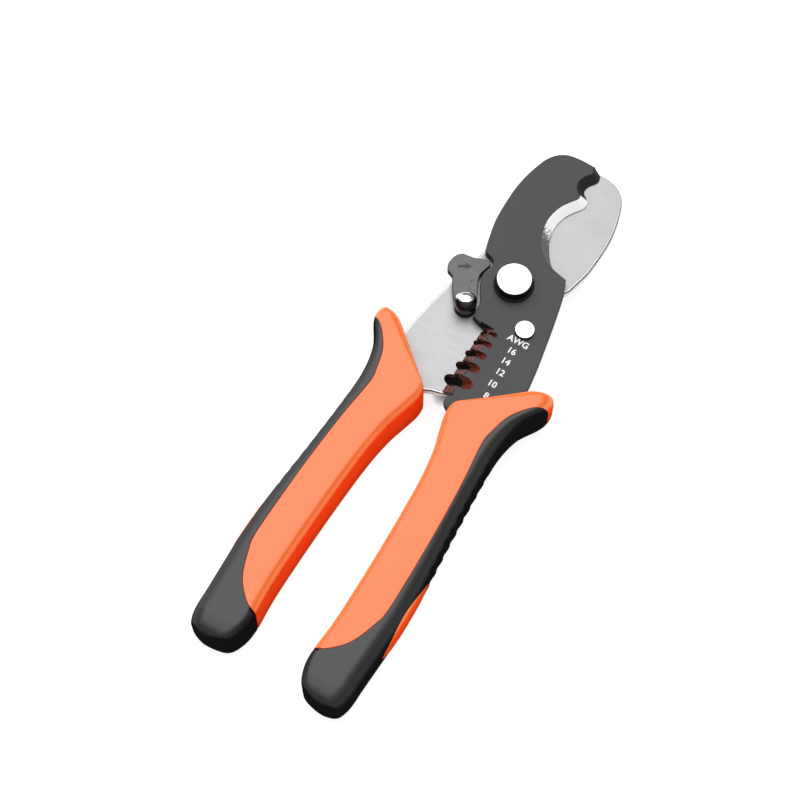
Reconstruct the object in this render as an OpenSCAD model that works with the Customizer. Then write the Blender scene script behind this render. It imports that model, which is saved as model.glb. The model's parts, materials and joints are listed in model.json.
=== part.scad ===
// Cable cutting and wire stripping pliers, closed and locked, lying on the back of their grips.
// +Y points to the jaws, +Z up through the pivot. The outlines are drawn about the pivot axis, with the
// sliding plane of the two plates at height 0, and each piece is then set down on its grips.

/* [Grips] */
// Distance from the pivot axis to the lower ends of the grips
grip_reach = 142; // [120:1:165]
// Half of the width over both closed grips at their widest part
grip_half_spread = 27; // [25:0.5:30]
// Height of a grip over its flat faces
grip_h = 18.4; // [16:0.2:22]
// Width of the rounding along the outer side of a grip
outer_round_w = 4.6; // [3:0.1:5.5]
// Height of the rounding along the outer side of a grip
outer_round_h = 6.5; // [4:0.1:7.5]
// Width of the rounding along the inner side of a grip
inner_round_w = 2.4; // [1:0.1:3.5]
// Height of the rounding along the inner side of a grip
inner_round_h = 4; // [2:0.1:6]
// Length of the window in the outer side of a soft sleeve
window_len = 26; // [16:0.5:34]
// Height of the window in the outer side of a soft sleeve
window_h = 12.6; // [6:0.2:13]
// Number of finger grooves across the outer side of a sleeve
groove_count = 9; // [4:1:10]
// Distance from one finger groove to the next
groove_pitch = 4.4; // [3.6:0.1:4.6]
// Radius of a finger groove
groove_r = 3.2; // [2.4:0.1:4]
// Depth of a finger groove
groove_depth = 0.5; // [0.2:0.1:0.8]

/* [Plates] */
// Thickness of each steel plate
plate_t = 3; // [2.4:0.1:4]
// Gap between the two plates where they slide on each other
blade_gap = 0.05; // [0.02:0.01:0.2]
// Half of the width across the plates where they enter the grips
neck_half_w = 21; // [19:0.5:24]

/* [Cutting jaws] */
// Distance from the pivot axis to the tips of the jaws
head_reach = 49; // [42:1:60]
// Greatest distance of the front jaw's back from the middle
front_jaw_w = 16.4; // [14:0.2:20]
// Greatest distance of the rear jaw's back from the middle
rear_jaw_w = 17.4; // [14:0.2:20]
// Width of the ground bevel along a cutting edge
jaw_bevel_w = 2.6; // [1.5:0.1:3.4]
// Height of the thin land left along every sharpened edge
edge_land = 0.3; // [0.1:0.05:0.6]

/* [Stripping edge] */
// Diameters of the stripping holes, from the pivot to the grips
strip_hole_d = [1.5, 1.9, 2.4, 3.0, 4.0]; // [1:0.1:5]
// Distance from the pivot axis to the first stripping hole
strip_first = 17.8; // [16.5:0.1:20]
// Width of the steel left between two stripping holes
strip_land = 2.05; // [1.4:0.05:2.4]
// Width of the steel left below the last stripping hole
strip_end_land = 2.9; // [2:0.1:4]
// How far each stripping edge passes the middle
strip_overlap = 1; // [0.4:0.1:1.4]
// Width of the ground bevel along a stripping edge
strip_bevel_w = 3.4; // [2:0.1:4]
// Slant of the chip scoops behind the stripping holes, in degrees from upright
scoop_tilt = 49; // [40:1:54]

/* [Pivot] */
// Diameter of the pivot bolt's shank
bolt_d = 6; // [5:0.1:7]
// Diameter of the pivot bolt's head
bolt_head_d = 11; // [9:0.2:13]
// Height of the pivot bolt's head
bolt_head_h = 3.3; // [2:0.1:5]
// Rounding of the rim of the bolt's head
bolt_head_rim = 0.5; // [0.2:0.1:1]
// Diameter of the washers under the head and the nut
washer_d = 12.4; // [11:0.2:14]
// Thickness of the washers under the head and the nut
washer_t = 0.6; // [0.4:0.1:1]
// Width of the pivot nut across its flats
nut_flats = 10; // [8:0.2:11]
// Height of the pivot nut
nut_h = 2.4; // [1.6:0.1:3.2]
// Length of shank that stands out of the nut
bolt_end = 0.4; // [0.2:0.1:0.8]
// Radial clearance of a turning piece on its shaft
running_gap = 0.04; // [0.02:0.01:0.08]
// Radial clearance of a pin or rivet in a hole that doesn't turn on it
seat_gap = 0.02; // [0.01:0.01:0.05]

/* [Lock] */
// Distance of the lock rivet to the left of the pivot axis
lock_x = 9.3; // [9:0.1:10.5]
// Distance of the lock rivet below the pivot axis
lock_y = 13.2; // [12.8:0.1:14]
// Distance from the lock rivet to the top of the lever's nose
lever_reach = 16.4; // [15.5:0.1:17]
// Thickness of the lock lever
lever_t = 2.6; // [2:0.1:2.8]
// Diameter of the lock rivet's shank
lock_rivet_d = 3.5; // [3:0.1:4.5]
// Diameter of the lock rivet's domed head
dome_d = 6.8; // [6:0.1:7.4]
// Height of the lock rivet's domed head
dome_h = 3.9; // [3:0.1:5]
// Thickness of the spring washer under the domed head
lock_washer_t = 0.35; // [0.2:0.05:0.6]
// Diameter of the rivet's closed end at the back
rivet_tail_d = 5.6; // [5:0.1:7]
// Height of the rivet's closed end at the back
rivet_tail_h = 1; // [0.6:0.1:1.6]

/* [Stop] */
// Distance of the stop rivet to the right of the pivot axis
stop_x = 10.6; // [10:0.1:11.4]
// Distance of the stop rivet below the pivot axis
stop_y = 11.9; // [11:0.1:12.6]
// Diameter of the stop rivet's shank
stop_d = 3.5; // [2.6:0.1:4]
// Diameter of the stop rivet's head
stop_head_d = 5.9; // [5:0.1:7]
// Height of the stop rivet's head
stop_head_h = 1.2; // [0.8:0.1:2]
// Diameter of the stop rivet's tail, which runs beside the rear plate
stop_tail_d = 4.4; // [4.2:0.1:5]
// Length of the stop rivet's tail
stop_tail_h = 2.7; // [2:0.1:3]
// Angle that the front half opens through, in degrees
open_angle = 25; // [18:1:27]

/* [Opening spring] */
// Diameter of the spring's wire
wire_d = 0.8; // [0.6:0.05:0.9]
// Radius of the spring to the middle of its wire
spring_r = 7.05; // [6.9:0.05:7.2]
// Number of turns of the spring
spring_turns = 1.5; // [1:0.25:1.5]
// Width of the ring groove that holds the spring in each plate
groove_w = 3.2; // [2.6:0.1:3.4]
// Depth of the ring groove in each plate
ring_depth = 1.5; // [1.4:0.05:1.6]
// Length of the bent end of the spring that stands in a plate
spring_leg = 0.9; // [0.6:0.1:1.1]
// Clearance round the bent end of the spring in its hole
leg_gap = 0.3; // [0.25:0.05:0.4]

/* [Hidden] */

// Cuts run this far past the faces that they open
overrun = 1;
// Steps of a drawn curve between two of its points
curve_steps = 3;
// Steps of a grip's surface between two of its sections, and round each of its four edges
grip_steps = 2;
round_steps = 4;
// Steps of the round relief in the rear plate, and of each bend of the spring's wire
relief_steps = 12;
bend_steps = 3;
// Number of sides of round pieces, and of the spring's wire
round_sides = 64;
wire_sides = 8;

// Heights, measured from the sliding plane
plate_face = blade_gap / 2;
plate_back = plate_face + plate_t;
washer_z = plate_back + blade_gap;
bolt_seat = washer_z + washer_t;
nut_top = -plate_back - washer_t;
lever_z = -plate_face + blade_gap;
lever_top = lever_z + lever_t;
dome_z = lever_top + lock_washer_t;

// The grips' flat undersides are the floor, and the model's middle is the origin
floor_z = grip_h / 2;
pivot_y = (grip_reach - head_reach) / 2;

// Stripping holes, placed one after the other along the edge
hole_last = len(strip_hole_d) - 1;
strip_holes = [for (k = [0 : hole_last]) strip_first + hole_run(k)];
strip_start = strip_first - strip_hole_d[0] / 2;
strip_end = strip_holes[hole_last] + strip_hole_d[hole_last] / 2 + strip_end_land;

// The stop rivet's path, as its radius and its angle below the +X axis
stop_r = norm([stop_x, stop_y]);
stop_a = atan2(stop_y, stop_x);
stop_gap = 0.3;
stop_half_a = asin((stop_tail_d / 2 + stop_gap) / stop_r);

// The round relief beside that path, and the shoulder that the rivet's tail meets
relief_lead_share = 1.3;
shoulder_share = 0.08;
relief_r = stop_r - stop_tail_d / 2 - stop_gap;
relief_a = stop_a + relief_lead_share * stop_half_a;
shoulder_a = stop_a - open_angle - stop_half_a;
shoulder_r = stop_r + shoulder_share * stop_tail_d;

// The opening spring: its turns run from one groove to the other, and each end bends over one width of wire
spring_start_a = -100;
spring_run = spring_turns * 360;
spring_z = ring_depth + plate_face - wire_d / 2 - blade_gap;
bend_a = wire_d / spring_r * 180 / PI;
spring_end_a = spring_start_a + spring_run + 2 * bend_a;
leg_z = plate_face + ring_depth + spring_leg;
coil_steps = round(24 * spring_turns);

// Radii of the lock washer, of the dome's round top, and of the arcs that bound the sleeve's window
dome_wall_share = 0.5;
dome_wall_h = dome_wall_share * dome_h;
dome_cap_h = dome_h - dome_wall_h;
dome_cap_r = (dome_d * dome_d / 4 + dome_cap_h * dome_cap_h) / (2 * dome_cap_h);
lock_washer_r = (dome_d + lock_rivet_d) / 4;
window_r = (window_len * window_len + window_h * window_h) / (4 * window_h);

// Shape tables, as shares of the sizes that each follows, for the plate with its jaw on the left
// Back of the jaw, of its width and head_reach
jaw_back_shares = [[-0.86, 0.165], [-0.905, 0.225], [-0.975, 0.335], [-1, 0.46], [-1, 0.6], [-0.96, 0.71],
    [-0.89, 0.81], [-0.8, 0.895], [-0.66, 0.955], [-0.47, 0.99], [-0.2, 1], [0.08, 0.997]];
// Cutting edge in the small tip pocket, of the jaw's width and head_reach, down to the cusp
tip_pocket_shares = [[0.226, 0.985], [0.253, 0.955], [0.235, 0.928], [0.163, 0.894], [0.122, 0.859],
    [0.133, 0.827], [0.204, 0.804], [0.285, 0.785]];
// Cutting edge in the main pocket, of the jaw's width and head_reach, from the cusp to the heel
main_pocket_shares = [[0.285, 0.785], [0.308, 0.753], [0.28, 0.714], [0.193, 0.672], [0.109, 0.627],
    [0.053, 0.574], [0.027, 0.515], [0.047, 0.456], [0.104, 0.394], [0.192, 0.339], [0.288, 0.294],
    [0.427, 0.247], [0.768, 0.205]];
// Outer side of the neck, of neck_half_w and strip_end
neck_side_shares = [[0.69, 0.137], [0.748, 0.017], [0.814, -0.139], [0.871, -0.288],
    [0.938, -0.47], [0.976, -0.6], [0.995, -0.7]];
// Tang inside the grip, of grip_half_spread and grip_reach, down its outer and up its inner side
tang_shares = [[0.765, -0.254], [0.69, -0.317], [0.637, -0.394], [0.644, -0.528], [0.674, -0.669],
    [0.66, -0.775], [0.6, -0.82], [0.51, -0.82], [0.445, -0.775], [0.44, -0.669], [0.42, -0.528],
    [0.365, -0.43], [0.262, -0.362]];
// Heel of the front plate beside its grip, of neck_half_w and strip_end
front_heel_shares = [[0.165, -1.125], [0.071, -1.088], [0.076, -1.041], [0.13, -1.003]];
// Heel of the rear plate beside its grip, of neck_half_w and strip_end
rear_heel_shares = [[0.3, -1.056], [0.205, -1.032]];
// Root of the rear jaw's back, of its width and head_reach
rear_root_shares = [[-0.765, 0.112]];
// Lean of the bevel towards the jaw's back, and its width at the heel, reached over the edge's last points
bevel_lean = 1;
heel_share = 0.15;
heel_points = 11;
// Notch and lower left side of the front plate, of lever_reach, from the lock rivet
notch_shares = [[0.25, -0.146], [0.232, 0], [0.21, 0.17], [0.105, 0.36], [-0.01, 0.57], [-0.034, 0.67],
    [-0.028, 0.79], [0.014, 0.89], [0.016, 0.985], [-0.02, 1.05], [-0.128, 1.105], [-0.195, 1.12],
    [-0.25, 1.155]];
// Outline of the lock lever, of lever_reach, from the lock rivet
lever_shares = [[-0.045, 0.985], [-0.018, 0.945], [-0.05, 0.82], [-0.073, 0.71], [-0.067, 0.61],
    [-0.024, 0.51], [0.061, 0.34], [0.13, 0.2], [0.195, 0.05], [0.19, -0.08], [0.12, -0.175], [0, -0.21],
    [-0.13, -0.17], [-0.225, -0.04], [-0.335, 0.1], [-0.451, 0.275], [-0.51, 0.378], [-0.585, 0.42],
    [-0.652, 0.451], [-0.707, 0.555], [-0.707, 0.695], [-0.671, 0.8], [-0.604, 0.878], [-0.53, 0.905],
    [-0.43, 0.915], [-0.335, 0.933], [-0.25, 0.97], [-0.158, 1], [-0.09, 1]];
// Sections of a grip, from its top end to its bottom, of grip_half_spread and grip_reach
grip_inner_shares = [[0.222, 0.31], [0.172, 0.323], [0.167, 0.347], [0.213, 0.382], [0.277, 0.427],
    [0.327, 0.493], [0.354, 0.577], [0.371, 0.669], [0.38, 0.761], [0.378, 0.845], [0.354, 0.915],
    [0.374, 0.953], [0.455, 0.985], [0.615, 1]];
grip_outer_shares = [[0.945, 0.19], [1.095, 0.196], [1.118, 0.228], [0.95, 0.285], [0.882, 0.352],
    [0.893, 0.437], [0.93, 0.549], [0.975, 0.662], [1, 0.761], [0.985, 0.845], [0.968, 0.915],
    [0.96, 0.958], [0.915, 0.987], [0.82, 1]];
grip_height_shares = [0.86, 1, 1, 1, 1, 1, 1, 1, 1, 1, 1, 1, 0.92, 0.66];
// Where the hard core meets the soft sleeve, of grip_half_spread and grip_reach
seam_shares = [[1.3, -0.22], [1.14, -0.229], [1.03, -0.236], [0.907, -0.259], [0.793, -0.292], [0.73, -0.334],
    [0.707, -0.37], [0.759, -0.465], [0.796, -0.57], [0.815, -0.676], [0.819, -0.775], [0.778, -0.812],
    [0.678, -0.862], [0.526, -0.896], [0.389, -0.91], [0.2, -0.913]];
// Middle of the sleeve's window and first finger groove, of grip_reach
window_share = 0.757;
first_groove_share = 0.4;

// Distance of stripping hole k from the first one
function hole_run(k) = k == 0 ? 0
    : hole_run(k - 1) + (strip_hole_d[k - 1] + strip_hole_d[k]) / 2 + strip_land;

// Points of a smooth curve through the points p
function curve_point(a, b, c, d, t) = b + t * (c - a) / 2
    + t * t * (a - 2.5 * b + 2 * c - d / 2) + t * t * t * (1.5 * b - 1.5 * c + d / 2 - a / 2);
function smooth(p, steps = curve_steps) = [for (i = [0 : len(p) - 2]) for (k = [0 : steps - 1])
    curve_point(p[max(i - 1, 0)], p[i], p[i + 1], p[min(i + 2, len(p) - 1)], k / steps), p[len(p) - 1]];

// The points of a table of shares, as sizes
function sized(shares, w, h) = [for (s = shares) [s.x * w, s.y * h]];

// Unit normal at point i of a curve, to the right of its direction
function curve_normal(p, i) = let (d = p[min(i + 1, len(p) - 1)] - p[max(i - 1, 0)]) [d.y, -d.x] / norm(d);

// Solid through a list of closed rings with as many points each
module loft(rings) {
    n = len(rings[0]);
    last = len(rings) - 1;
    first_cap = [for (i = [1 : n - 2]) [0, i, i + 1]];
    last_cap = [for (i = [1 : n - 2]) [last * n, last * n + i + 1, last * n + i]];
    sides = [for (j = [0 : last - 1]) for (i = [0 : n - 1]) let (a = j * n + i, b = j * n + (i + 1) % n)
        each [[a, a + n, b], [b, a + n, b + n]]];
    polyhedron([for (r = rings) each r], concat(first_cap, sides, last_cap));
}

// Sets a piece drawn about the pivot down on the floor
module at_pivot() {
    translate([0, pivot_y, floor_z]) children();
}

// Cutting edge of a jaw of width w, from its tip to its heel
function cutting_edge(w) = let (tip = smooth(sized(tip_pocket_shares, w, head_reach)),
    pocket = smooth(sized(main_pocket_shares, w, head_reach)), cusp = tip[len(tip) - 1])
    concat(tip, [for (p = pocket) if (p.y < cusp.y) p]);

// Outline that both plates share, from the back of the jaw round the edge and the tang to the heel
function plate_outline(w, heel_shares) = concat(
    smooth(sized(jaw_back_shares, w, head_reach)),
    cutting_edge(w),
    smooth(concat(sized(neck_side_shares, neck_half_w, strip_end),
        sized(tang_shares, grip_half_spread, grip_reach))),
    smooth(sized(heel_shares, neck_half_w, strip_end)),
    [[-strip_overlap, -strip_end], [-strip_overlap, -strip_start]]);

front_outline = concat(
    plate_outline(front_jaw_w, front_heel_shares),
    [for (p = smooth(sized(notch_shares, lever_reach, lever_reach))) p - [lock_x, lock_y]]);

rear_outline = concat(
    plate_outline(rear_jaw_w, rear_heel_shares),
    [for (k = [0 : relief_steps]) let (a = relief_a + (shoulder_a - relief_a) * k / relief_steps)
        -relief_r * [cos(a), sin(a)]],
    [-shoulder_r * [cos(shoulder_a), sin(shoulder_a)]],
    sized(rear_root_shares, rear_jaw_w, head_reach));

// Back of the bevel at point i of an edge: it leans towards the jaw's back and narrows over its last points
function bevel_back(edge, i) = let (lean = curve_normal(edge, i) - [bevel_lean, 0],
    width = jaw_bevel_w * min(1, heel_share + (len(edge) - 1 - i) / heel_points))
    edge[i] + width * lean / norm(lean);

// Curve with one more point beyond each end
function run_out(p) = let (n = len(p), a = p[0] - p[1], b = p[n - 1] - p[n - 2])
    concat([p[0] + overrun * a / norm(a)], p, [p[n - 1] + overrun * b / norm(b)]);

// What is ground away along a cutting edge, for a plate whose face is at plate_face
module edge_grind(w) {
    edge = run_out(cutting_edge(w));
    land_z = plate_face + edge_land;
    top_z = plate_back + overrun;
    loft([for (i = [0 : len(edge) - 1])
        let (e = edge[i], back = bevel_back(edge, i), out = e + (e - back) * overrun / norm(e - back))
        [[out.x, out.y, land_z], [out.x, out.y, top_z], [back.x, back.y, top_z],
            [back.x, back.y, plate_back], [e.x, e.y, land_z]]]);
}

// What is ground away along a stripping edge, with its holes and chip scoops
module strip_grind() {
    translate([-strip_overlap, -strip_start + overrun, plate_face + edge_land]) rotate([90, 0, 0])
        linear_extrude(strip_end - strip_start + 2 * overrun)
            polygon([[0, 0], [strip_bevel_w, plate_t - edge_land], [strip_bevel_w, plate_t + overrun],
                [-overrun, plate_t + overrun], [-overrun, 0]]);
    for (k = [0 : hole_last]) translate([0, -strip_holes[k], 0]) strip_hole(strip_hole_d[k]);
}

// One stripping hole, open to the edge, with the slanted scoop that lets the chips out
module strip_hole(d) {
    cylinder(h = plate_back + overrun, d = d, $fn = round_sides);
    translate([-2 * strip_overlap, -d / 2, 0]) cube([2 * strip_overlap, d, plate_back + overrun]);
    rotate([0, scoop_tilt, 0]) cylinder(h = 2 * plate_back / cos(scoop_tilt), d = d, $fn = round_sides);
}

// A plate with its jaw on the left, its pivot hole, its spring groove and its sharpened edges
module plate(outline, w, pivot_hole_r, leg_a) {
    difference() {
        translate([0, 0, plate_face]) linear_extrude(plate_t) polygon(outline);
        cylinder(h = plate_back + overrun, r = pivot_hole_r, $fn = round_sides);
        spring_groove();
        rotate(leg_a) translate([spring_r, 0, 0])
            cylinder(h = leg_z + leg_gap, r = wire_d / 2 + leg_gap, $fn = round_sides);
        edge_grind(w);
        strip_grind();
    }
}

// Ring groove round the pivot, which holds the spring
module spring_groove() {
    rotate_extrude($fn = round_sides) translate([spring_r - groove_w / 2, 0])
        square([groove_w, plate_face + ring_depth]);
}

// Front plate: left jaw, stripping edge and the tang of the right grip
module front_blade() {
    color("dimgray") at_pivot() difference() {
        plate(front_outline, front_jaw_w, bolt_d / 2 + running_gap, spring_end_a);
        translate([stop_x, -stop_y, 0])
            cylinder(h = plate_back + overrun, r = stop_d / 2 + seat_gap, $fn = round_sides);
    }
}

// Rear plate: right jaw, stripping edge and the tang of the left grip
module rear_blade() {
    color("silver") at_pivot() difference() {
        rotate([0, 180, 0]) plate(rear_outline, rear_jaw_w, bolt_d / 2 + seat_gap, 180 - spring_start_a);
        translate([-lock_x, -lock_y, -plate_back - overrun])
            cylinder(h = plate_t + 2 * overrun, r = lock_rivet_d / 2 + seat_gap, $fn = round_sides);
    }
}

// Pivot bolt with its polished flat head
module pivot_bolt() {
    shank_z = nut_top - nut_h - bolt_end;
    r = bolt_head_d / 2;
    color("white") at_pivot() rotate_extrude($fn = round_sides) {
        translate([0, shank_z]) square([bolt_d / 2, bolt_seat - shank_z + bolt_head_rim]);
        translate([0, bolt_seat]) square([r, bolt_head_h - bolt_head_rim]);
        translate([0, bolt_seat]) square([r - bolt_head_rim, bolt_head_h]);
        translate([r - bolt_head_rim, bolt_seat + bolt_head_h - bolt_head_rim])
            circle(bolt_head_rim, $fn = round_sides);
    }
}

// Flat ring round the pivot bolt, with its lower face at height z
module washer(z) {
    translate([0, 0, z]) difference() {
        cylinder(h = washer_t, d = washer_d, $fn = round_sides);
        translate([0, 0, -overrun])
            cylinder(h = washer_t + 2 * overrun, r = bolt_d / 2 + seat_gap, $fn = round_sides);
    }
}

// Dark washer between the bolt's head and the front plate
module front_washer() {
    color("black") at_pivot() washer(washer_z);
}

// Washer between the rear plate and the nut
module rear_washer() {
    color("gray") at_pivot() washer(nut_top);
}

// Hexagonal nut on the end of the pivot bolt
module pivot_nut() {
    color("silver") at_pivot() translate([0, 0, nut_top - nut_h]) difference() {
        intersection() {
            cylinder(h = nut_h, r = nut_flats / sqrt(3), $fn = 6);
            nut_round();
        }
        translate([0, 0, -overrun])
            cylinder(h = nut_h + 2 * overrun, r = bolt_d / 2 + seat_gap, $fn = round_sides);
    }
}

// Round form that takes the nut's outer corners off
module nut_round() {
    r = nut_flats / sqrt(3);
    chamfer = r - nut_flats / 2;
    rotate_extrude($fn = round_sides)
        polygon([[0, 0], [r - chamfer, 0], [r, chamfer], [r, nut_h], [0, nut_h]]);
}

// Path of the spring's wire, unrolled: angle round the ring and height
spring_flat = concat(
    [[0, -leg_z], [0, -spring_z - wire_d]],
    [for (k = [1 : bend_steps]) let (t = 90 * k / bend_steps)
        [bend_a * (1 - cos(t)), -spring_z - wire_d * (1 - sin(t))]],
    [for (k = [1 : coil_steps - 1]) let (t = k / coil_steps)
        [bend_a + spring_run * t, -spring_z + 2 * spring_z * t]],
    [for (k = [0 : bend_steps]) let (t = 90 * k / bend_steps)
        [bend_a + spring_run + bend_a * sin(t), spring_z + wire_d * (1 - cos(t))]],
    [[spring_run + 2 * bend_a, leg_z]]);

// The same path, wrapped round the pivot
spring_path = [for (p = spring_flat) let (a = spring_start_a + p.x)
    [spring_r * cos(a), spring_r * sin(a), p.y]];

// Ring of the spring's wire about point i of its path
function wire_ring(i) = let (p = spring_path[i], a = spring_start_a + spring_flat[i].x,
    d = spring_path[min(i + 1, len(spring_path) - 1)] - spring_path[max(i - 1, 0)],
    side = [cos(a), sin(a), 0], up = cross(side, d / norm(d)))
    [for (k = [0 : wire_sides - 1]) let (b = 360 * k / wire_sides)
        p + wire_d / 2 * (side * cos(b) - up * sin(b))];

// Torsion spring that opens the handles, with an end bent into each plate
module opening_spring() {
    color("lightsteelblue") at_pivot() loft([for (i = [0 : len(spring_path) - 1]) wire_ring(i)]);
}

// Rivet in the front plate whose tail meets the rear plate's shoulder when the tool is open
module stop_rivet() {
    color("gainsboro") at_pivot() translate([stop_x, -stop_y, 0]) {
        translate([0, 0, plate_back]) cylinder(h = stop_head_h, d = stop_head_d, $fn = round_sides);
        translate([0, 0, plate_face - stop_tail_h])
            cylinder(h = stop_tail_h, d = stop_tail_d, $fn = round_sides);
        translate([0, 0, plate_face - stop_tail_h])
            cylinder(h = plate_t + stop_tail_h + stop_head_h / 2, d = stop_d, $fn = round_sides);
    }
}

// Outline of the lever about its rivet
lever_outline = smooth(sized(concat(lever_shares, [lever_shares[0]]), lever_reach, lever_reach));

// Lever whose nose stands in the front plate's notch and holds the handles closed
module lock_lever() {
    color("gray") at_pivot() translate([-lock_x, -lock_y, lever_z]) difference() {
        linear_extrude(lever_t) polygon(lever_outline);
        translate([0, 0, -overrun])
            cylinder(h = lever_t + 2 * overrun, r = lock_rivet_d / 2 + running_gap, $fn = round_sides);
    }
}

// Spring washer that gives the lever its friction
module lock_washer() {
    color("silver") at_pivot() translate([-lock_x, -lock_y, lever_top]) difference() {
        cylinder(h = lock_washer_t, r = lock_washer_r, $fn = round_sides);
        translate([0, 0, -overrun])
            cylinder(h = lock_washer_t + 2 * overrun, r = lock_rivet_d / 2 + running_gap, $fn = round_sides);
    }
}

// Rivet that carries the lever, with a polished dome in front and a closed end at the back
module lock_rivet() {
    color("white") at_pivot() translate([-lock_x, -lock_y, 0]) {
        translate([0, 0, dome_z]) cylinder(h = dome_wall_h, d = dome_d, $fn = round_sides);
        intersection() {
            translate([0, 0, dome_z + dome_h - dome_cap_r]) sphere(r = dome_cap_r, $fn = round_sides);
            translate([0, 0, dome_z + dome_wall_h])
                cylinder(h = dome_cap_h + overrun, d = dome_d, $fn = round_sides);
        }
        translate([0, 0, -plate_back])
            cylinder(h = plate_back + dome_z + dome_wall_h, d = lock_rivet_d, $fn = round_sides);
        translate([0, 0, -plate_back - rivet_tail_h])
            cylinder(h = rivet_tail_h, d = rivet_tail_d, $fn = round_sides);
    }
}

// Rows of the right grip's surface: inner and outer side and half height, which never passes the flat faces
grip_inner = smooth(sized(grip_inner_shares, grip_half_spread, -grip_reach), grip_steps);
grip_outer = smooth(sized(grip_outer_shares, grip_half_spread, -grip_reach), grip_steps);
grip_half_h = [for (h = smooth(grip_height_shares, grip_steps)) min(1, h) * grip_h / 2];

// Quarter of an ellipse of half axes r round c, from angle a, as distances from the inner side and heights
function edge_round(c, r, a) = [for (k = [0 : round_steps]) let (t = a + 90 * k / round_steps)
    [c.x + r.x * cos(t), c.y + r.y * sin(t)]];

// Section of a grip from its inner point a to its outer point b, with half height h
function grip_ring(a, b, h) = let (w = norm(b - a), d = (b - a) / w, share = 2 * h / grip_h,
    outer = [min(outer_round_w, w / 3), outer_round_h * share],
    inner = [min(inner_round_w, w / 3), inner_round_h * share])
    [for (p = concat(
        edge_round([w - outer.x, h - outer.y], outer, 0),
        edge_round([inner.x, h - inner.y], inner, 90),
        edge_round([inner.x, inner.y - h], inner, 180),
        edge_round([w - outer.x, outer.y - h], outer, 270)))
        [a.x + d.x * p.x, a.y + d.y * p.x, p.y]];

// Whole outer form of the right grip
module grip_form() {
    loft([for (i = [0 : len(grip_inner) - 1]) grip_ring(grip_inner[i], grip_outer[i], grip_half_h[i])]);
}

// Space of the right grip's hard core: inside the seam, and through the window in the outer side
module core_space() {
    seam = smooth(sized(seam_shares, grip_half_spread, grip_reach));
    translate([0, 0, -grip_h]) linear_extrude(2 * grip_h)
        polygon(concat(seam, [[0, -grip_reach], [0, 0], [2 * grip_half_spread, 0]]));
    translate([grip_half_spread / 2, -window_share * grip_reach, 0]) rotate([90, 0, 90])
        linear_extrude(grip_half_spread) window_lens();
}

// Lens of two arcs, as long and as high as the window
module window_lens() {
    intersection() {
        translate([0, window_r - window_h / 2]) circle(window_r, $fn = round_sides);
        translate([0, window_h / 2 - window_r]) circle(window_r, $fn = round_sides);
    }
}

// Finger grooves across the outer side, each sunk to the same depth below the grip's own side
module finger_grooves() {
    for (k = [0 : groove_count - 1]) {
        y = -first_groove_share * grip_reach - k * groove_pitch;
        translate([grip_side(y) + groove_r - groove_depth, y, -grip_h])
            cylinder(h = 2 * grip_h, r = groove_r, $fn = round_sides);
    }
}

// Distance of the grip's outer side from the middle, at place y along the grip
function grip_side(y) = let (after = [for (i = [1 : len(grip_outer) - 1]) if (grip_outer[i].y < y) i][0],
    p = grip_outer[after - 1], q = grip_outer[after]) p.x + (q.x - p.x) * (p.y - y) / (p.y - q.y);

// Hard core of a grip, moulded round its plate's tang
module grip_core(tang) {
    difference() {
        intersection() {
            grip_form();
            core_space();
        }
        translate([0, 0, plate_face]) linear_extrude(plate_t) polygon(tang);
    }
}

// Soft sleeve of a grip: its outer side and its rounded lower end
module grip_sleeve() {
    difference() {
        grip_form();
        core_space();
        finger_grooves();
    }
}

// Orange core of the right grip, on the front plate
module right_grip_core() {
    color("orangered") at_pivot() grip_core(front_outline);
}

// Black sleeve of the right grip
module right_grip_sleeve() {
    color("black") at_pivot() grip_sleeve();
}

// Orange core of the left grip, on the rear plate
module left_grip_core() {
    color("orangered") at_pivot() rotate([0, 180, 0]) grip_core(rear_outline);
}

// Black sleeve of the left grip
module left_grip_sleeve() {
    color("black") at_pivot() rotate([0, 180, 0]) grip_sleeve();
}

rear_blade();
front_blade();
pivot_bolt();
front_washer();
rear_washer();
pivot_nut();
opening_spring();
stop_rivet();
lock_lever();
lock_washer();
lock_rivet();
left_grip_core();
left_grip_sleeve();
right_grip_core();
right_grip_sleeve();
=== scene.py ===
"""Looks of the cable cutting and wire stripping pliers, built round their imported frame."""

import json
import logging
import math
from dataclasses import dataclass
from enum import Enum, IntEnum
from functools import cache, cached_property
from typing import Optional, Sequence, Union

import bmesh
import bpy
from mathutils import Matrix, Vector


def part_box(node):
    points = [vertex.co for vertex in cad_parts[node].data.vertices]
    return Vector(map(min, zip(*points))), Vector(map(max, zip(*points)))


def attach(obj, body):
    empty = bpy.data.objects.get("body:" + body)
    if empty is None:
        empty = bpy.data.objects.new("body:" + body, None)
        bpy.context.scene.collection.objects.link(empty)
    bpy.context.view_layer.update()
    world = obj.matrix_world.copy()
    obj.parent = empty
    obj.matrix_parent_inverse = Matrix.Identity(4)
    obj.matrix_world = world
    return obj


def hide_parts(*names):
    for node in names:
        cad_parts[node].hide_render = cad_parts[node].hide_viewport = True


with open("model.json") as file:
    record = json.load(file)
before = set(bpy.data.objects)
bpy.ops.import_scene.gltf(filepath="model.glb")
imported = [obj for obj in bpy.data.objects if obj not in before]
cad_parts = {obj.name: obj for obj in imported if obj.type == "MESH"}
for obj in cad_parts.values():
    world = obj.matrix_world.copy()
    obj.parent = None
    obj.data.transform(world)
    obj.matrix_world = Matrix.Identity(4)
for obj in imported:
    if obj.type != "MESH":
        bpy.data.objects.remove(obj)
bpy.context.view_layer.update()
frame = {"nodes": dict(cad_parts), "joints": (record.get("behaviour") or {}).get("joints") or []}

LOG = logging.getLogger("pliers")
MM = 0.001
PIVOT = Vector(frame["joints"][0]["pos_m"])
# Upright part of a face's normal from which it is level, and up to which it is an upright wall.
LEVEL = 0.99
UPRIGHT = 0.06
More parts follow.
